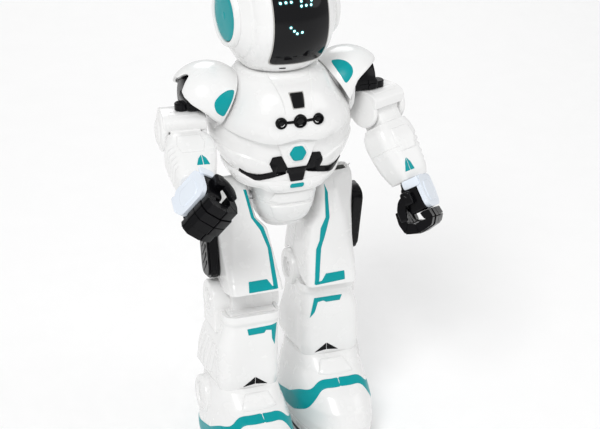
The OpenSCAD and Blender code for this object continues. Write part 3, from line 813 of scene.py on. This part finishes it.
def make_back_details(torso, back):
    look = torso.look(back, toward=(0, -1, 0))
    door = mirrored((16.4, 163), (16.4, 186), (12.5, 190))
    torso.patch("battery_cover", door, look, WHITE, 0.6, 0.4, 1.4, node="battery_door")
    rim = [(x * 1.03, 176.5 + (z - 176.5) * 1.035) for x, z in door]
    torso.patch("battery_cover_gap", rim, look, SEAM, 0.04, 0.03, 1.4)
    for k in range(4):
        z = 165.6 + 2.6 * k
        grip = mirrored((6, z), (6, z + 1.1))
        torso.patch(f"battery_grip_{k + 1}", grip, look, WHITE, 1.0, 0.4)
    # Speaker holes as near-black dots: painted shade for the inside of each hole
    for row in range(5):
        reach = 4 - abs(row - 2)
        for column in range(-reach, reach + 1, 2):
            hole = circle(column * 1.6, 198.0 + row, 0.45, 8)
            name = f"speaker_hole_{row}_{column + 4}"
            torso.patch(name, hole, look, HOLE_SHADE, 0.03, 0.02, 0.1, 0.5)
    # The switch well as a near-black patch: painted shade in the recess round the switch
    well = mirrored((5.6, 192.4), (5.6, 197))
    torso.patch("switch_well_shade", well, look, HOLE_SHADE, 0.12, 0.1)
    cad_finish(BLACK, "power_switch")
    cad_finish(STEEL, "case_screws", bevel=0.12)


# ---------- Head ----------
HELMET_R = 32
EAR_R = 12.6
NECK_CUT = -26.4
HELMET_GAP = 0.14


def helmet_radius(x):
    """Radius about the ear axis, with the face ring and the crease beside it."""
    r = np.sqrt(np.maximum(HELMET_R ** 2 - x ** 2, 0))
    crease = np.exp(-((np.abs(x) - 22.6) / 0.9) ** 2)
    ring = smooth_step((22.6 - np.abs(x)) / 3) * smooth_step((np.abs(x) - 14) / 2)
    return r - 0.75 * crease + 0.3 * ring - 0.3 * smooth_step((np.abs(x) - 22.6) / 2)


def helmet_profile():
    lip = [(28.3, 12.9), (29.4, 12.95), (30, 13.1), (30.3, 13.45), (30.4, 14), (30.3, 14.7), (30, 15.2),
           (29.4, 15.6), (28.8, 15.85), (28.2, 16.15)]
    x = np.concatenate([np.linspace(27.5, 24.5, 8), np.linspace(24.2, 21, 17),
                        np.linspace(20.6, 0, 42)])
    half = lip + [(v, float(helmet_radius(v))) for v in x]
    return np.array(half + [(-v, r) for v, r in reversed(half[:-1])])


def helmet_half(front):
    x, r = helmet_profile().T[..., None]
    a = np.radians(np.linspace(-90 + HELMET_GAP, 90 - HELMET_GAP, 181) + (0 if front else 180))
    z = np.maximum(r * np.sin(a), NECK_CUT)
    return np.stack([np.broadcast_to(x, z.shape), -r * np.cos(a), z], 2)


def narrowed(mesh):
    """Draws the two sides of the helmet in toward the face."""
    verts = mesh[0].copy()
    x = verts[:, 0].copy()
    verts[:, 0] -= np.sign(x) * 2.4 * smooth_step((np.abs(x) - 14) / 14)
    return verts, mesh[1]


def on_helmet(u, v):
    """The helmet's sphere, for patch(), from its own x and height."""
    y = -np.sqrt(np.maximum(HELMET_R ** 2 - u * u - v * v, 1))
    p = np.stack([u, y, v], 1)
    return p, p / HELMET_R


def make_head():
    head = Part(HEAD, "head")
    for end in ("front", "back"):
        half = narrowed(shell(helmet_half(end == "front"), WALL))
        head.piece("helmet_" + end, half, WHITE, f"head_{end}_shell", 32, 0.2)
    glass = [(-13.6, 21.5), (15.2, 21.5), (15.2, -12), (13.9, -20.4), (-13.9, -20.4), (-13.8, -12)]
    head.patch("visor_glass", glass, on_helmet, VISOR, 0.36, 0.3, 3.2, 1.0, 0.6, "visor")
    rim = [(x * 1.022, z * 1.016) for x, z in glass]
    head.patch("visor_seam", rim, on_helmet, SEAM, 0.33, 0.12, 3.2, 1.0, 0.6)
    # The chin slot as a near-black patch: painted shade inside the slot
    slot = [(-7.6, -23.5), (-4.6, -23.5), (-4.6, -23), (-7.6, -23)]
    head.patch("chin_slot_shade", slot, on_helmet, HOLE_SHADE, 0.35, 0.05, 0.2)
    for side in SIGN:
        ear = Part(HEAD @ hand_of(side), "head")
        profile = [(28.3, EAR_R), (29.2, EAR_R), (29.55, EAR_R - 0.2), (29.75, EAR_R - 0.6), (29.95, 9),
                   (30.1, 5), (30.15, 1)]
        ear.piece("ear_cap_" + side, narrowed(turned(profile, 96)), TEAL, side + "_ear_disc")
        ear.piece("ear_stud_" + side, narrowed(disc(29.2, 30.3, 2, 0.3, 40)), TEAL)
    make_light_dots(head)
    cad_finish(BOARD, "led_board")
    cad_finish(SOLE, "head_base", "speaker")
    cad_finish(BLACK, "neck_collar", bevel=0.5)
    collar = [(202.6, 21.6), (204.4, 21.2), (205.4, 20.2), (206, 18.8), (206.2, 17.2), (206.1, 14.4)]
    Part(ROOT @ move(0, -0.6, 0), "root").piece("neck_ring", turned(collar, 120, "Z"), WHITE)


# The right eye, the left eye and the mouth
DOTS = [(-10.1, 11.6), (-7.6, 11.8), (-5.1, 11.9), (-0.2, 11.9), (-0.4, 9.8), (2.1, 9.8), (4.7, 9.7),
        (5.2, 11.7), (-6.2, 0.2), (-4.6, -1.6), (-3.1, -3.0), (-0.6, -2.6)]


def make_light_dots(head):
    """Each round light dot, with a dim halo round it."""
    for k, (x, z) in enumerate(DOTS, 1):
        halo, dot = circle(x, z, 1.05, 12), circle(x, z, 0.55, 12)
        head.patch(f"light_halo_{k}", halo, on_helmet, HALO, 0.4, 0.02, 0.2, 0.5, 0.1)
        head.patch(f"light_dot_{k}", dot, on_helmet, GLOW, 0.46, 0.06, 0.1, 0.3, 0.1)


# ---------- Shoulders ----------
DOME = np.array([36.5, -1, 192.5])
DOME_R = 19.4
DOME_WALL = 1.4
SEAM_TILT = 29
# Where the dome's open rim lies: turn about the arm's axle from the front, and the angle
# out from that axle
BACK_RIM = [[90, 39.5], [132, 39], [150, 42], [162, 47.5], [172, 57], [186, 72], [203.5, 87], [209, 95.4]]
RIM_LINE = {
    "right": [[-29, 95.4], [-18, 82.4], [-8, 72], [7, 50.4], [24, 39.8], [42, 37], [58, 46],
              [70, 57], [80, 54]] + BACK_RIM,
    "left": [[-17, 104.5], [3, 99], [18.7, 91.5], [26.5, 83], [36.7, 70], [48, 58], [60, 48],
             [76, 41]] + BACK_RIM}
DOME_MARK = {
    "right": [(26.8, 199.6), (31.1, 200.3), (35.2, 198.9), (38, 196.5), (38.6, 194),
              (37.5, 190.4), (33.7, 187.5), (31.2, 191.6), (28.5, 196)],
    "left": [(25.4, 205.8), (29.4, 206.8), (32.6, 206.2), (34.4, 204), (34.1, 201.5),
             (31.9, 198.7), (29.7, 196.6), (28.3, 199.8), (26.8, 202.8)]}


def dome_rows(side):
    """The dome as rows from its torso seam out to the rim, which is cut away in front."""
    turn_of = np.linspace(-28.6 if side == "right" else -13, 208.6, 190)
    rim = np.radians(between(RIM_LINE[side], turn_of, 3)[:, 0])
    phi = np.radians(turn_of)
    tilt = math.radians(SEAM_TILT)
    a, b = math.cos(tilt), math.sin(tilt) * np.sin(phi)
    offset = -((DOME[0] - 34.8) * a + (DOME[2] - 183) * math.sin(tilt)) / DOME_R
    seam = np.arctan2(b, a) + np.arccos(offset / np.hypot(a, b))
    rows = []
    for f, low, high in zip(phi, rim, np.maximum(seam, rim + 0.01)):
        share = np.linspace(0, 1, 56)
        theta = high + (low - high) * share
        r = DOME_R - 0.5 * np.exp(-((theta - low) / 0.05) ** 2)
        up = r * np.sin(theta) * math.sin(f)
        up *= 1 - 0.1 * smooth_step(up / 8)
        rows.append(np.stack([r * np.cos(theta), -r * np.sin(theta) * math.cos(f), up], 1)
                    + DOME)
    return np.array(rows)


def make_shoulder(side):
    place = side_root(side)
    part = Part(place, "root", side)
    dome = part.piece("_shoulder_dome", shell(dome_rows(side), DOME_WALL), WHITE, "_shoulder_cap",
                      bevel=0.25)
    part.patch("_shoulder_inlay", DOME_MARK[side], part.look(dome), TEAL, 0.14, 0.1, 1.6)
    peg = turned([(33.2, 0.6), (33.2, 15.4), (34, 16.2), (35.4, 16), (35.9, 3.2), (42.6, 3), (42.8, 0.6)])
    part.piece("_shoulder_peg", shifted(peg, 0, -1, 192.4), WHITE)
    make_upper_arm(Part(place, side + "_upper_arm", side))


ELBOW_AT = (51, -6.5)
DISC_FLAT = 189.2


def make_upper_arm(arm):
    """The black swing disc and the split bar down to the elbow's turntable."""
    wheel = [(36.3, 3.2), (36.4, 9.8), (36.8, 10.7), (37.6, 11.2), (47.2, 11), (48.6, 10.2), (49.2, 8.6),
             (49.1, 3.9), (48.6, 3.4), (46.6, 3.2)]
    verts, faces = shifted(turned(wheel, 72), 0, -1, 193)
    low = (verts[:, 2] < DISC_FLAT) & (verts[:, 0] > 37.4)
    verts[low, 2] = DISC_FLAT - (DISC_FLAT - verts[low, 2]) * 0.02
    bar = slab((38.5, 49.8), (-12, 3), (189.3, 195.2), 1.2, 2.2)
    collar = turned([(187.5, 2.3), (189.1, 2.4), (189.3, 3.5), (192.2, 3.6), (192.6, 3.2)], 48,
                    "Z")
    rails = [slab((39.8, 48.8), (-12.5, -11.7), (191.8, 192.6), 0.25, 0.3),
             slab((44.4, 45.2), (-12.5, -11.7), (189.9, 194.6), 0.25, 0.3)]
    solid = joined((verts, faces), bar, shifted(collar, *ELBOW_AT, 0), *rails)
    arm.piece("_upper_arm_link", solid, BLACK, "_upper_arm")


# ---------- Elbow, forearm and hand ----------
HOOD = [(-9.4, 2.6), (-9.9, 5.6), (-8.6, 8.2), (-5.2, 10), (0, 10.5), (5.6, 10.5), (9.6, 8.8),
        (10.9, 4.6), (10.9, -6.4), (7.4, -6.6)]


def make_elbow(side):
    elbow = Part(elbow_frame(side), side + "_elbow", side)
    a = np.radians(np.linspace(-38, 162, 30))
    inner = [(8.45 * math.cos(t), 8.45 * math.sin(t)) for t in a]
    hood = np.concatenate([soft_outline(HOOD[1:-1], 2.2)[3:-3], [HOOD[-1]], inner, [HOOD[0]]])
    cheek = turned([(8.1, 1), (8.1, 9.4), (9.2, 10.2), (10.4, 10.2), (11.4, 9.4), (11.8, 8), (11.9, 6.6),
                    (12.6, 6.2), (12.9, 5.2), (12.9, 1)], 72)
    solid = joined(along_x(prism(hood, -10.6, 10.6)), cheek, flipped(disc(8.1, 10.7, 9.4, 1.2)))
    made = elbow.piece("_elbow_hood", solid, WHITE, "_elbow_cap", 35, 0.9)
    step = mirrored((7.6, -6.4), (7.6, -2.2))
    elbow.patch("_elbow_step", step, elbow.look(made, toward=(0, 0, -1)), WHITE, 0.2, 0.15)


FOREARM = [
    [-41, -8.2, 8.4, 7.2, 7.2, 2.4, 2.4, 2, 2.4], [-38.6, -9.2, 9.4, 8, 8.2, 2.6, 2.6, 2, 2.8],
    [-33, -10.9, 10.5, 8.6, 9.2, 3, 3, 2.2, 3], [-26, -12.2, 11.3, 9, 9.6, 3.4, 3.4, 2.4, 3.2],
    [-19, -12.9, 11.8, 9.2, 9.8, 3.4, 3.4, 2.4, 3.2], [-13.5, -12.2, 11.1, 8.7, 8.8, 3.2, 3.2, 2.4, 3],
    [-10.8, -9.7, 9.7, 8, 8, 3, 3, 2.2, 2.8]]
ARM_MARK = {"right": (-3.7, -35.7), "left": (-4.2, -37.2)}
FOREARM_LINE = -24.2


def make_forearm(side):
    arm = Part(forearm_frame(side), side + "_forearm", side)
    rows = panel_rings(FOREARM, heights(-40.4, -11.4, 0.3, (FOREARM_LINE,)), 1.4, 2.4)
    x, _, z = np.moveaxis(rows, 2, 0)
    ribs = 0.5 - 0.5 * np.cos(TURN * (z + 33) / 3.4)
    ribs *= smooth_step((x - 7.5) / 2) * smooth_step((z + 36) / 2) * smooth_step((-19 - z) / 1.5)
    rows = groove(rows, ribs, 0.8)
    rows = groove(rows, (np.abs(rows[..., 2] - FOREARM_LINE) < 0.05) * (rows[..., 0] < 7), 0.28)
    neck = slab((-7.5, 7.5), (-6.4, 6.4), (-13, -1), 0.8)
    solid = joined(capped(rows, 0.9), disc(-7.6, 7.6, 8, 0.6), neck, disc(-10.4, 10.4, 2, 0.3, 32))
    look = arm.look(arm.piece("_forearm_shell", solid, WHITE, "_forearm", 42))
    x, z = ARM_MARK[side]
    for way, sign in (("in", -1), ("out", 1)):
        half = [(x + sign * 0.16, z), (x + sign * 3.2, z), (x + sign * 1.9, z + 4.2),
                (x + sign * 0.16, z + 6.6)]
        arm.patch("_arm_mark_" + way, half, look, TEAL, 0.14, 0.08, 0.3, 0.6)
    plate = mirrored((5.4, -27), (7, -21), (6, -14.6))
    arm.patch("_forearm_plate", plate, look, WHITE, 0.55, 0.5)


def swept(path, sizes, count=28, power=4.5):
    """A limb along a curve in the XZ plane: sizes are (across, in plane) half widths."""
    path = np.array(path, float)
    knots = np.concatenate([[0], np.cumsum(np.linalg.norm(np.diff(path, axis=0), axis=1))])
    at = np.linspace(0, knots[-1], 40)
    soft = between(np.column_stack([knots, path]), at, 1.1)
    ahead = np.gradient(soft, axis=0)
    ahead /= np.linalg.norm(ahead, axis=1, keepdims=True)
    size = between(np.column_stack([knots, sizes]), at, 0.8)
    cos, sin = oval((0, 0, 1, 1, 1, power), TURN * np.arange(count) / count).T
    rows = [np.stack([x + deep * cos * tz, wide * sin, z - deep * cos * tx], 1)
            for (x, z), (tx, tz), (wide, deep) in zip(soft, ahead, size)]
    return capped(np.array(rows), min(sizes[-1]) * 0.8)


JOINTS = [(1, -17.3), (2, -21.3), (-3.6, -21.7), (-7, -19.7), (-7.4, -12.3)]
KNUCKLES = [(6.5, -17.3), (7.2, -22.1), (-3.6, -27.3), (-10.9, -24.9), (-11.4, -12.3)]
BENDS = {1: [(4.6, -25.8)], 3: [(-12.2, -19)]}
FINGER_CORE = [(4.6, -17.6), (5.6, -21.6), (3.4, -24.4), (-3.6, -24.4), (-9.2, -21.6), (-8.6, -13.4),
               (-7.9, -13.4), (-6.8, -20.2), (-3.4, -22.2), (2.6, -21.8), (1.4, -17.6)]
FINGER_GROW = (0.95, 1, 1, 0.92)


def finger(middle, half, grow):
    """One curled finger: four square segments with a crease between each two."""
    made = []
    for k in range(4):
        loop = [JOINTS[k], KNUCKLES[k], *BENDS.get(k, []), KNUCKLES[k + 1], JOINTS[k + 1]]
        loop = [0, -17.3] + (np.array(loop) - [0, -17.3]) * grow
        heart = loop.mean(0)
        loop = heart + (loop - heart) * 0.955
        made.append(prism(soft_outline(loop, 0.7), middle - half, middle + half))
    made.append(prism(FINGER_CORE, middle - half + 0.5, middle + half - 0.5))
    return joined(*map(along_y, made))


THUMB = [(-1.2, -7.6), (-4.2, -9.4), (-6.3, -13), (-6.9, -17.6)]
THUMB_SIZE = [(1.8, 1.8), (1.9, 2.2), (1.9, 2.3), (1.7, 1.9)]


def make_hand(side):
    hand = Part(hand_frame(side), side + "_hand", side)
    fingers = [finger(-8.0 + 5.3 * k, 2.4, grow) for k, grow in enumerate(FINGER_GROW)]
    bar = slab((1.4, 5), (-10, 10), (-20, -17.2), 0.6)
    hand.piece("_finger_set", joined(*fingers, bar), BLACK, "_fingers", 35, 0.5)
    palm = slab((-4, 5), (-10, 10), (-17, -2.6), 1.4, 2.2)
    wrist = turned([(-3.2, 5.4), (-2.6, 5.6), (-0.5, 5.2), (0, 4.8), (0, 3), (7.8, 3), (8, 2.6)],
                   48, "Z")
    thumb = shifted(swept(THUMB, THUMB_SIZE), 0, -12.9, 0)
    root = slab((-4, 1.5), (-14.6, -9.2), (-12, -5), 1.2, 1.6)
    guard = slab((-3.6, 4.4), (9.4, 10.6), (-14, -5), 0.6, 1.4)
    pads = [slab((-5.0, -3.6), (-8.0 + 5.4 * k, -3.8 + 5.4 * k), (-15, -5), 0.5)
            for k in range(3)]
    hand.piece("_palm_block", joined(palm, wrist, thumb, root, guard, *pads), BLACK, "_palm")
    outline = mirrored((7.6, 0.4), (10.2, -4.4), (10.2, -13.6), (7.5, -16.8))
    plate = along_x(prism(soft_outline(outline, 2.0), 5.1, 7.5))
    wings = [slab((-1.5, 7.3), (10.75, 11.9), (-11, 0.2), 0.5, 2.0),
             slab((-1.5, 7.3), (-10.9, -9.4), (-4.4, 0.2), 0.5, 1.2),
             slab((5.2, 7.4), (9.4, 11.8), (-11, -1), 0.5)]
    cuff = hand.piece("_hand_plate", joined(plate, *wings), CUFF, "_cuff", bevel=0.8)
    inner = mirrored((4.6, -3), (6.4, -6.4), (6.4, -11.6), (4.4, -13.8))
    hand.patch("_hand_panel", inner, hand.look(cuff, toward=(-1, 0, 0)), CUFF, 0.45, 0.4)


# ---------- Legs ----------
THIGH = [
    [-45, 9.7, 37.1, 26.4, 14.9, 2, 1.5, 2, 3], [-40.6, 9.8, 37.1, 24.9, 15.5, 2, 1.6, 2.2, 3],
    [-34, 10.2, 36.9, 21.8, 15.5, 2, 2, 2.6, 3], [-24, 10.7, 36.8, 17.5, 15.3, 2.2, 3.4, 3.4, 3],
    [-15.5, 11.6, 36.9, 15.2, 14.1, 2, 5.2, 4, 3], [-10, 16.3, 36.9, 13.5, 12.9, 2, 6.6, 4.2, 3],
    [-1, 17.9, 37.2, 11, 11, 2, 9, 4, 3], [4, 17.9, 37.3, 9.9, 9.9, 2, 10, 4, 3],
    [8, 18.4, 37.2, 7.1, 7.1, 2, 9, 3, 2.5], [10, 19.4, 36.4, 4.3, 4.3, 1.5, 6, 1.6, 1.5],
    [10.6, 21, 35.2, 2.6, 2.6, 1.2, 4, 1, 1]]
STRIPE = {
    "right": [(22, 4.8), (21.2, -0.6), (20.2, -9.2), (16.6, -15.6), (14.2, -24.4),
              (15.3, -43.6), (12.9, -43.9), (12.2, -25), (14.6, -14.4), (18.4, -9.2), (19.4, -0.9),
              (20.4, 4.6)],
    "left": [(20.6, 6.6), (22.2, 2.5), (23.1, -10.8), (20.2, -21), (18.2, -26.4), (15.9, -43),
             (13.4, -43.6), (15.4, -26.6), (17.4, -22.6), (18.1, -15.9), (20.9, -10.6), (20.7, -1.5)]}
THIGH_MARK = {
    "right": [(28.2, -44.2), (13.4, -44), (13.4, -42.6), (15.6, -42.4), (17.8, -38.8),
              (27.4, -38.9)],
    "left": [(30.1, -43), (13.9, -43.9), (13.9, -42.4), (17.4, -42.1), (19.8, -38.8),
             (30, -38.6)]}
THIGH_WALL = 1.6
THIGH_SEAM_GAP = 0.1
POD_AT = (-2, -19.9)
# The thigh's rings: where each long side starts, meets the parting plane and ends
LONG_SIDES = ((36, 41, 45), (96, 101, 105))
ARCH_R = 10.9
ARCH_TOP, THIGH_END = -36, -45


def seamed(rings):
    """Moves one point of each long side onto the parting plane, with even steps beside it."""
    rings = rings.copy()
    for first, mid, last in LONG_SIDES:
        for end, stop in ((first, mid), (last, mid)):
            step = 1 if end < stop else -1
            share = np.linspace(1, 0, abs(stop - end) + 1)
            rings[:, end:stop + step:step, 1] = rings[:, end, 1][:, None] * share
    return rings


def arched(rings):
    """Lifts the lower edge over the knee discs."""
    low = -THIGH_LEN + np.sqrt(np.maximum(ARCH_R ** 2 - rings[..., 1] ** 2, 0))
    low = np.maximum(low, THIGH_END)
    z = rings[..., 2]
    lifted = low + (z - THIGH_END) * (ARCH_TOP - low) / (ARCH_TOP - THIGH_END)
    rings[..., 2] = np.where(z < ARCH_TOP, lifted, z)
    return rings


def thigh_groove(rows):
    """A parting line down the middle of the front, and a shallow line round the lower end."""
    x, y, z = np.moveaxis(rows, 2, 0)
    line = 0.22 * np.exp(-((x - 25.5) / 0.22) ** 2) * smooth_step((-4 - y) / 3)
    return groove(rows, line + 0.12 * np.exp(-((z + 38.4) / 0.5) ** 2), 1)


def make_thigh(side):
    thigh = Part(thigh_frame(side), side + "_thigh", side)
    z = np.concatenate([np.arange(THIGH_END, ARCH_TOP, 0.3), np.arange(ARCH_TOP, 8, 0.45),
                        np.arange(8, 10.6, 0.3), [10.6]])
    rings = thigh_groove(arched(seamed(panel_rings(THIGH, z, 0.9, 2))))
    front = np.concatenate([rings[:, 101:], rings[:, :42]], 1)
    rear = rings[:, 41:102].copy()
    front[:, (0, -1), 1] -= THIGH_SEAM_GAP
    rear[:, (0, -1), 1] += THIGH_SEAM_GAP
    face = thigh.piece("_thigh_face", shell(front, THIGH_WALL), WHITE, "_thigh_front", bevel=0.3)
    thigh.piece("_thigh_back", shell(rear, THIGH_WALL), WHITE, "_thigh_rear", bevel=0.3)
    look = thigh.look(face)
    thigh.patch("_thigh_stripe", STRIPE[side], look, TEAL, 0.13, 0.1, 0.3, 0.7)
    thigh.patch("_thigh_block", THIGH_MARK[side], look, TEAL, 0.13, 0.1, 0.4)
    make_pod(thigh)
    cad_finish(NATURAL, side + "_thigh_frame")


def stadium(half_y, half_z, r):
    return soft_outline(mirrored((half_y, -half_z), (half_y, half_z)), r, 8) + POD_AT


def make_pod(thigh):
    """The black ribbed pod on the outside of the thigh."""
    ring = prism(stadium(7.4, 18.8, 6.4), 37.5, 41.8)
    raised_face = prism(stadium(6.2, 17.5, 5.4), 41.4, 42.9)
    ribs = []
    for k in range(7):
        z = -33.6 + 4.2 * k
        rib = slab((42.2, 43.2), (-5.4, 1.4), (z, z + 2), 0.3, 0.4)
        rib[0][:, 2] -= 0.75 * (rib[0][:, 1] + 2)
        ribs.append(rib)
    thigh.piece("_pod_shell", along_x(joined(ring, raised_face)), BLACK, "_thigh_pod", bevel=0.8)
    thigh.piece("_pod_ribs", joined(*ribs), BLACK)


SHIN = [
    [40.5, 11.4, 40.4, 18, 17.4, 4.5, 4.5, 4.2, 5], [44.5, 10.6, 41.4, 19.2, 18.4, 4.5, 4.5, 4, 5],
    [50, 10, 42, 19.7, 18.6, 4, 4, 3.8, 5], [56, 10, 41.9, 19.7, 18.3, 4, 4, 3.6, 5],
    [68, 10.3, 41.6, 19.8, 17.3, 4, 4, 3.6, 5], [77.6, 10.1, 39, 19.6, 16.5, 4, 4, 3.4, 5],
    [80.4, 10, 38.6, 19.6, 16.4, 4, 4, 3.2, 5], [82, 9.7, 38.9, 20.6, 16.5, 4, 4, 3.2, 5],
    [86.2, 9.7, 38.9, 20.7, 16.4, 4, 4, 3.2, 5]]
SHIN_MARK = {
    "right": [(28, 78.6), (11.7, 79.2), (13.3, 67.4), (14.9, 71.4), (15.1, 76.2), (18, 76.7),
              (19, 75.2), (27.3, 75)],
    "left": [(31.2, 78.3), (15.8, 78.4), (13.6, 66.9), (16.2, 70.3), (17.9, 75.8), (20.9, 76.2),
             (22.4, 75.2), (30, 75.2)]}
SPIRE = {"right": (24, 46), "left": (22.8, 46.4)}


def make_shin(side):
    shin = Part(shin_frame(side), side + "_shin", side)
    z = np.concatenate([np.arange(40.6, 77, 0.4), np.arange(77, 86.2, 0.25), [86.2]])
    rows = panel_rings(SHIN, z, 0.9, 2.6)
    x, y, h = np.moveaxis(rows, 2, 0)
    rows = groove(rows, np.exp(-((x - 25.2) / 0.2) ** 2) * (y < -12) * (h < 80), 0.2)
    swell = smooth_step((h - 41) / 9) * smooth_step((76 - h) / 20) * smooth_step((y + 11) / 15)
    rows[..., 0] += 2.6 * swell * np.tanh((x - 25.8) / 7)
    rows[..., 1] += 1.4 * swell * smooth_step((y - 4) / 9)
    made = shin.piece("_shin_shell", shell(rows, WALL, True), WHITE, "_shin", bevel=0.4)
    make_knee(shin)
    look = shin.look(made)
    shin.patch("_shin_mark", SHIN_MARK[side], look, TEAL, 0.13, 0.1, 0.3, 0.7)
    outside = shin.look(made, toward=(-1, 0, 0))
    for k in range(4):
        y = -6.6 + 5.0 * k
        rib = [(y + 5, 49.5), (y + 1.4, 49.5), (y - 4.2, 68), (y - 1.2, 68)]
        shin.patch(f"_calf_rib_{k + 1}", rib, outside, WHITE, 0.75, 0.7, 1.0)
    x, base = SPIRE[side]
    for way, sign in (("in", -1), ("out", 1)):
        half = [(x + sign * 0.12, base + 0.9), (x + sign * 6.6, base), (x + sign * 0.12, base + 4.9)]
        shin.patch("_spire_" + way, half, look, BLACK, 0.2, 0.12, 0.3, 0.6)


# The bored face of a knee disc, in steps of (depth below the face, radius)
KNEE_FACE = [(1.1, 9.9), (0.3, 9.4), (0, 8.4), (0, 5.6), (0.5, 5.2), (1.3, 5), (1.3, 2.6), (2.3, 2.3),
             (2.5, 0.6)]
KNEE_OUT, KNEE_IN = 42.5, 7.4


def make_knee(shin):
    """The two bored knee discs, their webs and block, and the ledge that closes the shin."""
    outer, inner = ([(face - way * depth, r) for depth, r in KNEE_FACE] for face, way in
                    ((KNEE_OUT, 1), (KNEE_IN, -1)))
    outer = [(33.2, 9.2), (33.6, 9.8)] + outer
    inner = inner[::-1] + [(22.2, 9.9), (22.5, 9.4), (22.5, 0.6)]
    discs = [shifted(turned(p, 80), 0, 0, KNEE_Z) for p in (outer, inner)]
    webs = [slab((33.2, 42), (-9.6, 9.6), (73.6, KNEE_Z - 2), 1, 1.4),
            slab((12.8, 22.4), (-9.6, 9.6), (74, KNEE_Z - 2), 0.6)]
    block = slab((12.2, 33.6), (-12.4, -7.7), (74, KNEE_Z + 6.2), 0.7, 1.2)
    behind = slab((20, 35), (7.4, 10), (73, 80.4))
    pin = shifted(disc(22, 33, 2, 0.2, 32), 0, 0, KNEE_Z)
    back = slab((12, 36.8), (7.6, 14.9), (KNEE_Z - 8.2, KNEE_Z - 6.8), 0.3, 3)
    shin.piece("_knee_block", joined(*discs, *webs, block, behind, pin, back), WHITE)
    ledge = [(10.8, -7.7), (10.8, -15.8), (14.4, -19.6), (34.2, -19.6), (37.9, -15.8), (37.9, -7.7)]
    ledge = prism(soft_outline(ledge, 0.6), 83.4, 85.5)
    step = slab((11.6, 36.4), (-17.6, -7.7), (84.6, 86.8), 1, 2.4)
    shin.piece("_rim_ledge", joined(ledge, step), WHITE)


# [z, middle x, middle y, half width, reach forward, reach back, power]
BOOT = [
    [3.4, 25.5, 0, 19.6, 47, 21, 2.6], [8, 25.5, 0, 20.8, 50.4, 23, 2.5],
    [15, 25.5, 0, 21.4, 51.9, 24, 2.4], [23, 25.5, 0, 21.2, 49, 24, 2.4], [30, 25.5, 0, 20, 42, 23, 2.5],
    [34, 25.6, 0, 19.2, 36, 22.2, 2.6], [37.4, 25.9, 0, 18.3, 29.6, 21.3, 2.7],
    [43.2, 26, 0, 17.1, 22.9, 20.1, 3], [44.6, 26, 0, 16.4, 21.4, 19.4, 3.1],
    [45.2, 26, 0, 15.2, 19.4, 18.4, 3.2]]
# Angle from the toe, lower edge and upper edge of the coloured band
BAND = [[0, 33.6, 36.4], [12, 33.2, 36], [17, 31.4, 34.9], [24, 25.6, 31.4], [31, 20.6, 29.6],
        [39, 17.6, 28], [50, 14.4, 25], [60, 13.6, 22.4], [90, 12, 19], [113, 11.2, 17.2],
        [180, 11, 16.6]]
ANKLE_AT = (3, 33)
BAND_ROWS, BAND_COLUMNS = 26, 260


def boot_point(z, a):
    """Points on the boot for matching arrays of height and parametric angle."""
    return np.column_stack([oval(between(BOOT, z, 0.7).T, a), z])


def make_band(shin):
    share = np.linspace(0, 1, BAND_ROWS)
    columns = []
    for a in np.radians(-90 + 360 * np.arange(BAND_COLUMNS) / BAND_COLUMNS):
        x, y, _ = boot_point(np.array([26.0]), np.array([a]))[0]
        away = abs(math.degrees(math.atan2(x - 25.5, -y)))
        low, high = between(BAND, [away], 2.5)[0]
        columns.append(boot_point(low + (high - low) * share, np.full(BAND_ROWS, a)))
    rows = np.stack(columns, 1)
    edge = np.minimum(share, 1 - share)[:, None, None]
    rows = rows + grid_normals(rows, True) * (0.05 + 0.2 * smooth_step(edge / 0.08))
    rows = groove(rows, np.exp(-((rows[..., 0] - 24.6) / 0.16) ** 2) * (rows[..., 1] < -20), 0.3)
    shin.piece("_boot_band", shell(rows, 0.6, True), TEAL)


def make_boot(side):
    shin = Part(shin_frame(side), side + "_shin", side)
    z = np.concatenate([np.arange(3.4, 30, 0.55), np.arange(30, 43, 0.35),
                        np.arange(43, 45.2, 0.2), [45.2]])
    rows = oval_rings(BOOT, z, 0.7, 300)
    rows = groove(rows, np.exp(-((rows[..., 2] - 9) / 0.35) ** 2), 0.315)
    made = shin.piece("_boot_shell", shell(rows, WALL, True), WHITE, "_foot", bevel=0.4)
    make_band(shin)
    tongue = [(18.4, 43.6), (30.6, 43.6), (34.4, 37.4), (15.4, 37.4)]
    shin.patch("_boot_tongue", tongue, shin.look(made), WHITE, 1.0, 0.8, 0.9)
    outer = [(39.6, 10.6), (45.4, 10.6), (46.2, 10.3), (46.7, 9.4), (46.7, 7.6), (46.3, 7.2), (45.7, 7),
             (45.5, 6), (45.7, 5.4), (45.8, 1)]
    shin.piece("_ankle_boss", shifted(turned(outer, 90), 0, *ANKLE_AT), WHITE)
    inner = flipped(turned([(-12.6, 7.6), (-9.4, 7.6), (-8.8, 7.2), (-8.5, 6.4), (-8.5, 1)], 72))
    shin.piece("_ankle_inner", shifted(inner, 0, 6, 30), WHITE)
    cad_finish(SOLE, side + "_sole", bevel=0.4)
    cad_finish(RUBBER, side + "_front_roller", side + "_rear_roller", bevel=0.4)


def make_inside():
    cad_finish(BOARD, "main_board")
    cad_finish(SLEEVE, "battery_pack", bevel=0.4)
    cad_finish(NATURAL, "gearbox_frame")
    cad_finish(STEEL, "drive_motor", "hip_shaft", bevel=0.2)
    cad_finish(GEAR, "motor_pinion", "crank_gear", bevel=0.08)


make_camera()
make_stage()
make_torso()
make_head()
for side in SIGN:
    make_shoulder(side)
    make_elbow(side)
    make_forearm(side)
    make_hand(side)
    make_thigh(side)
    make_shin(side)
    make_boot(side)
make_inside()
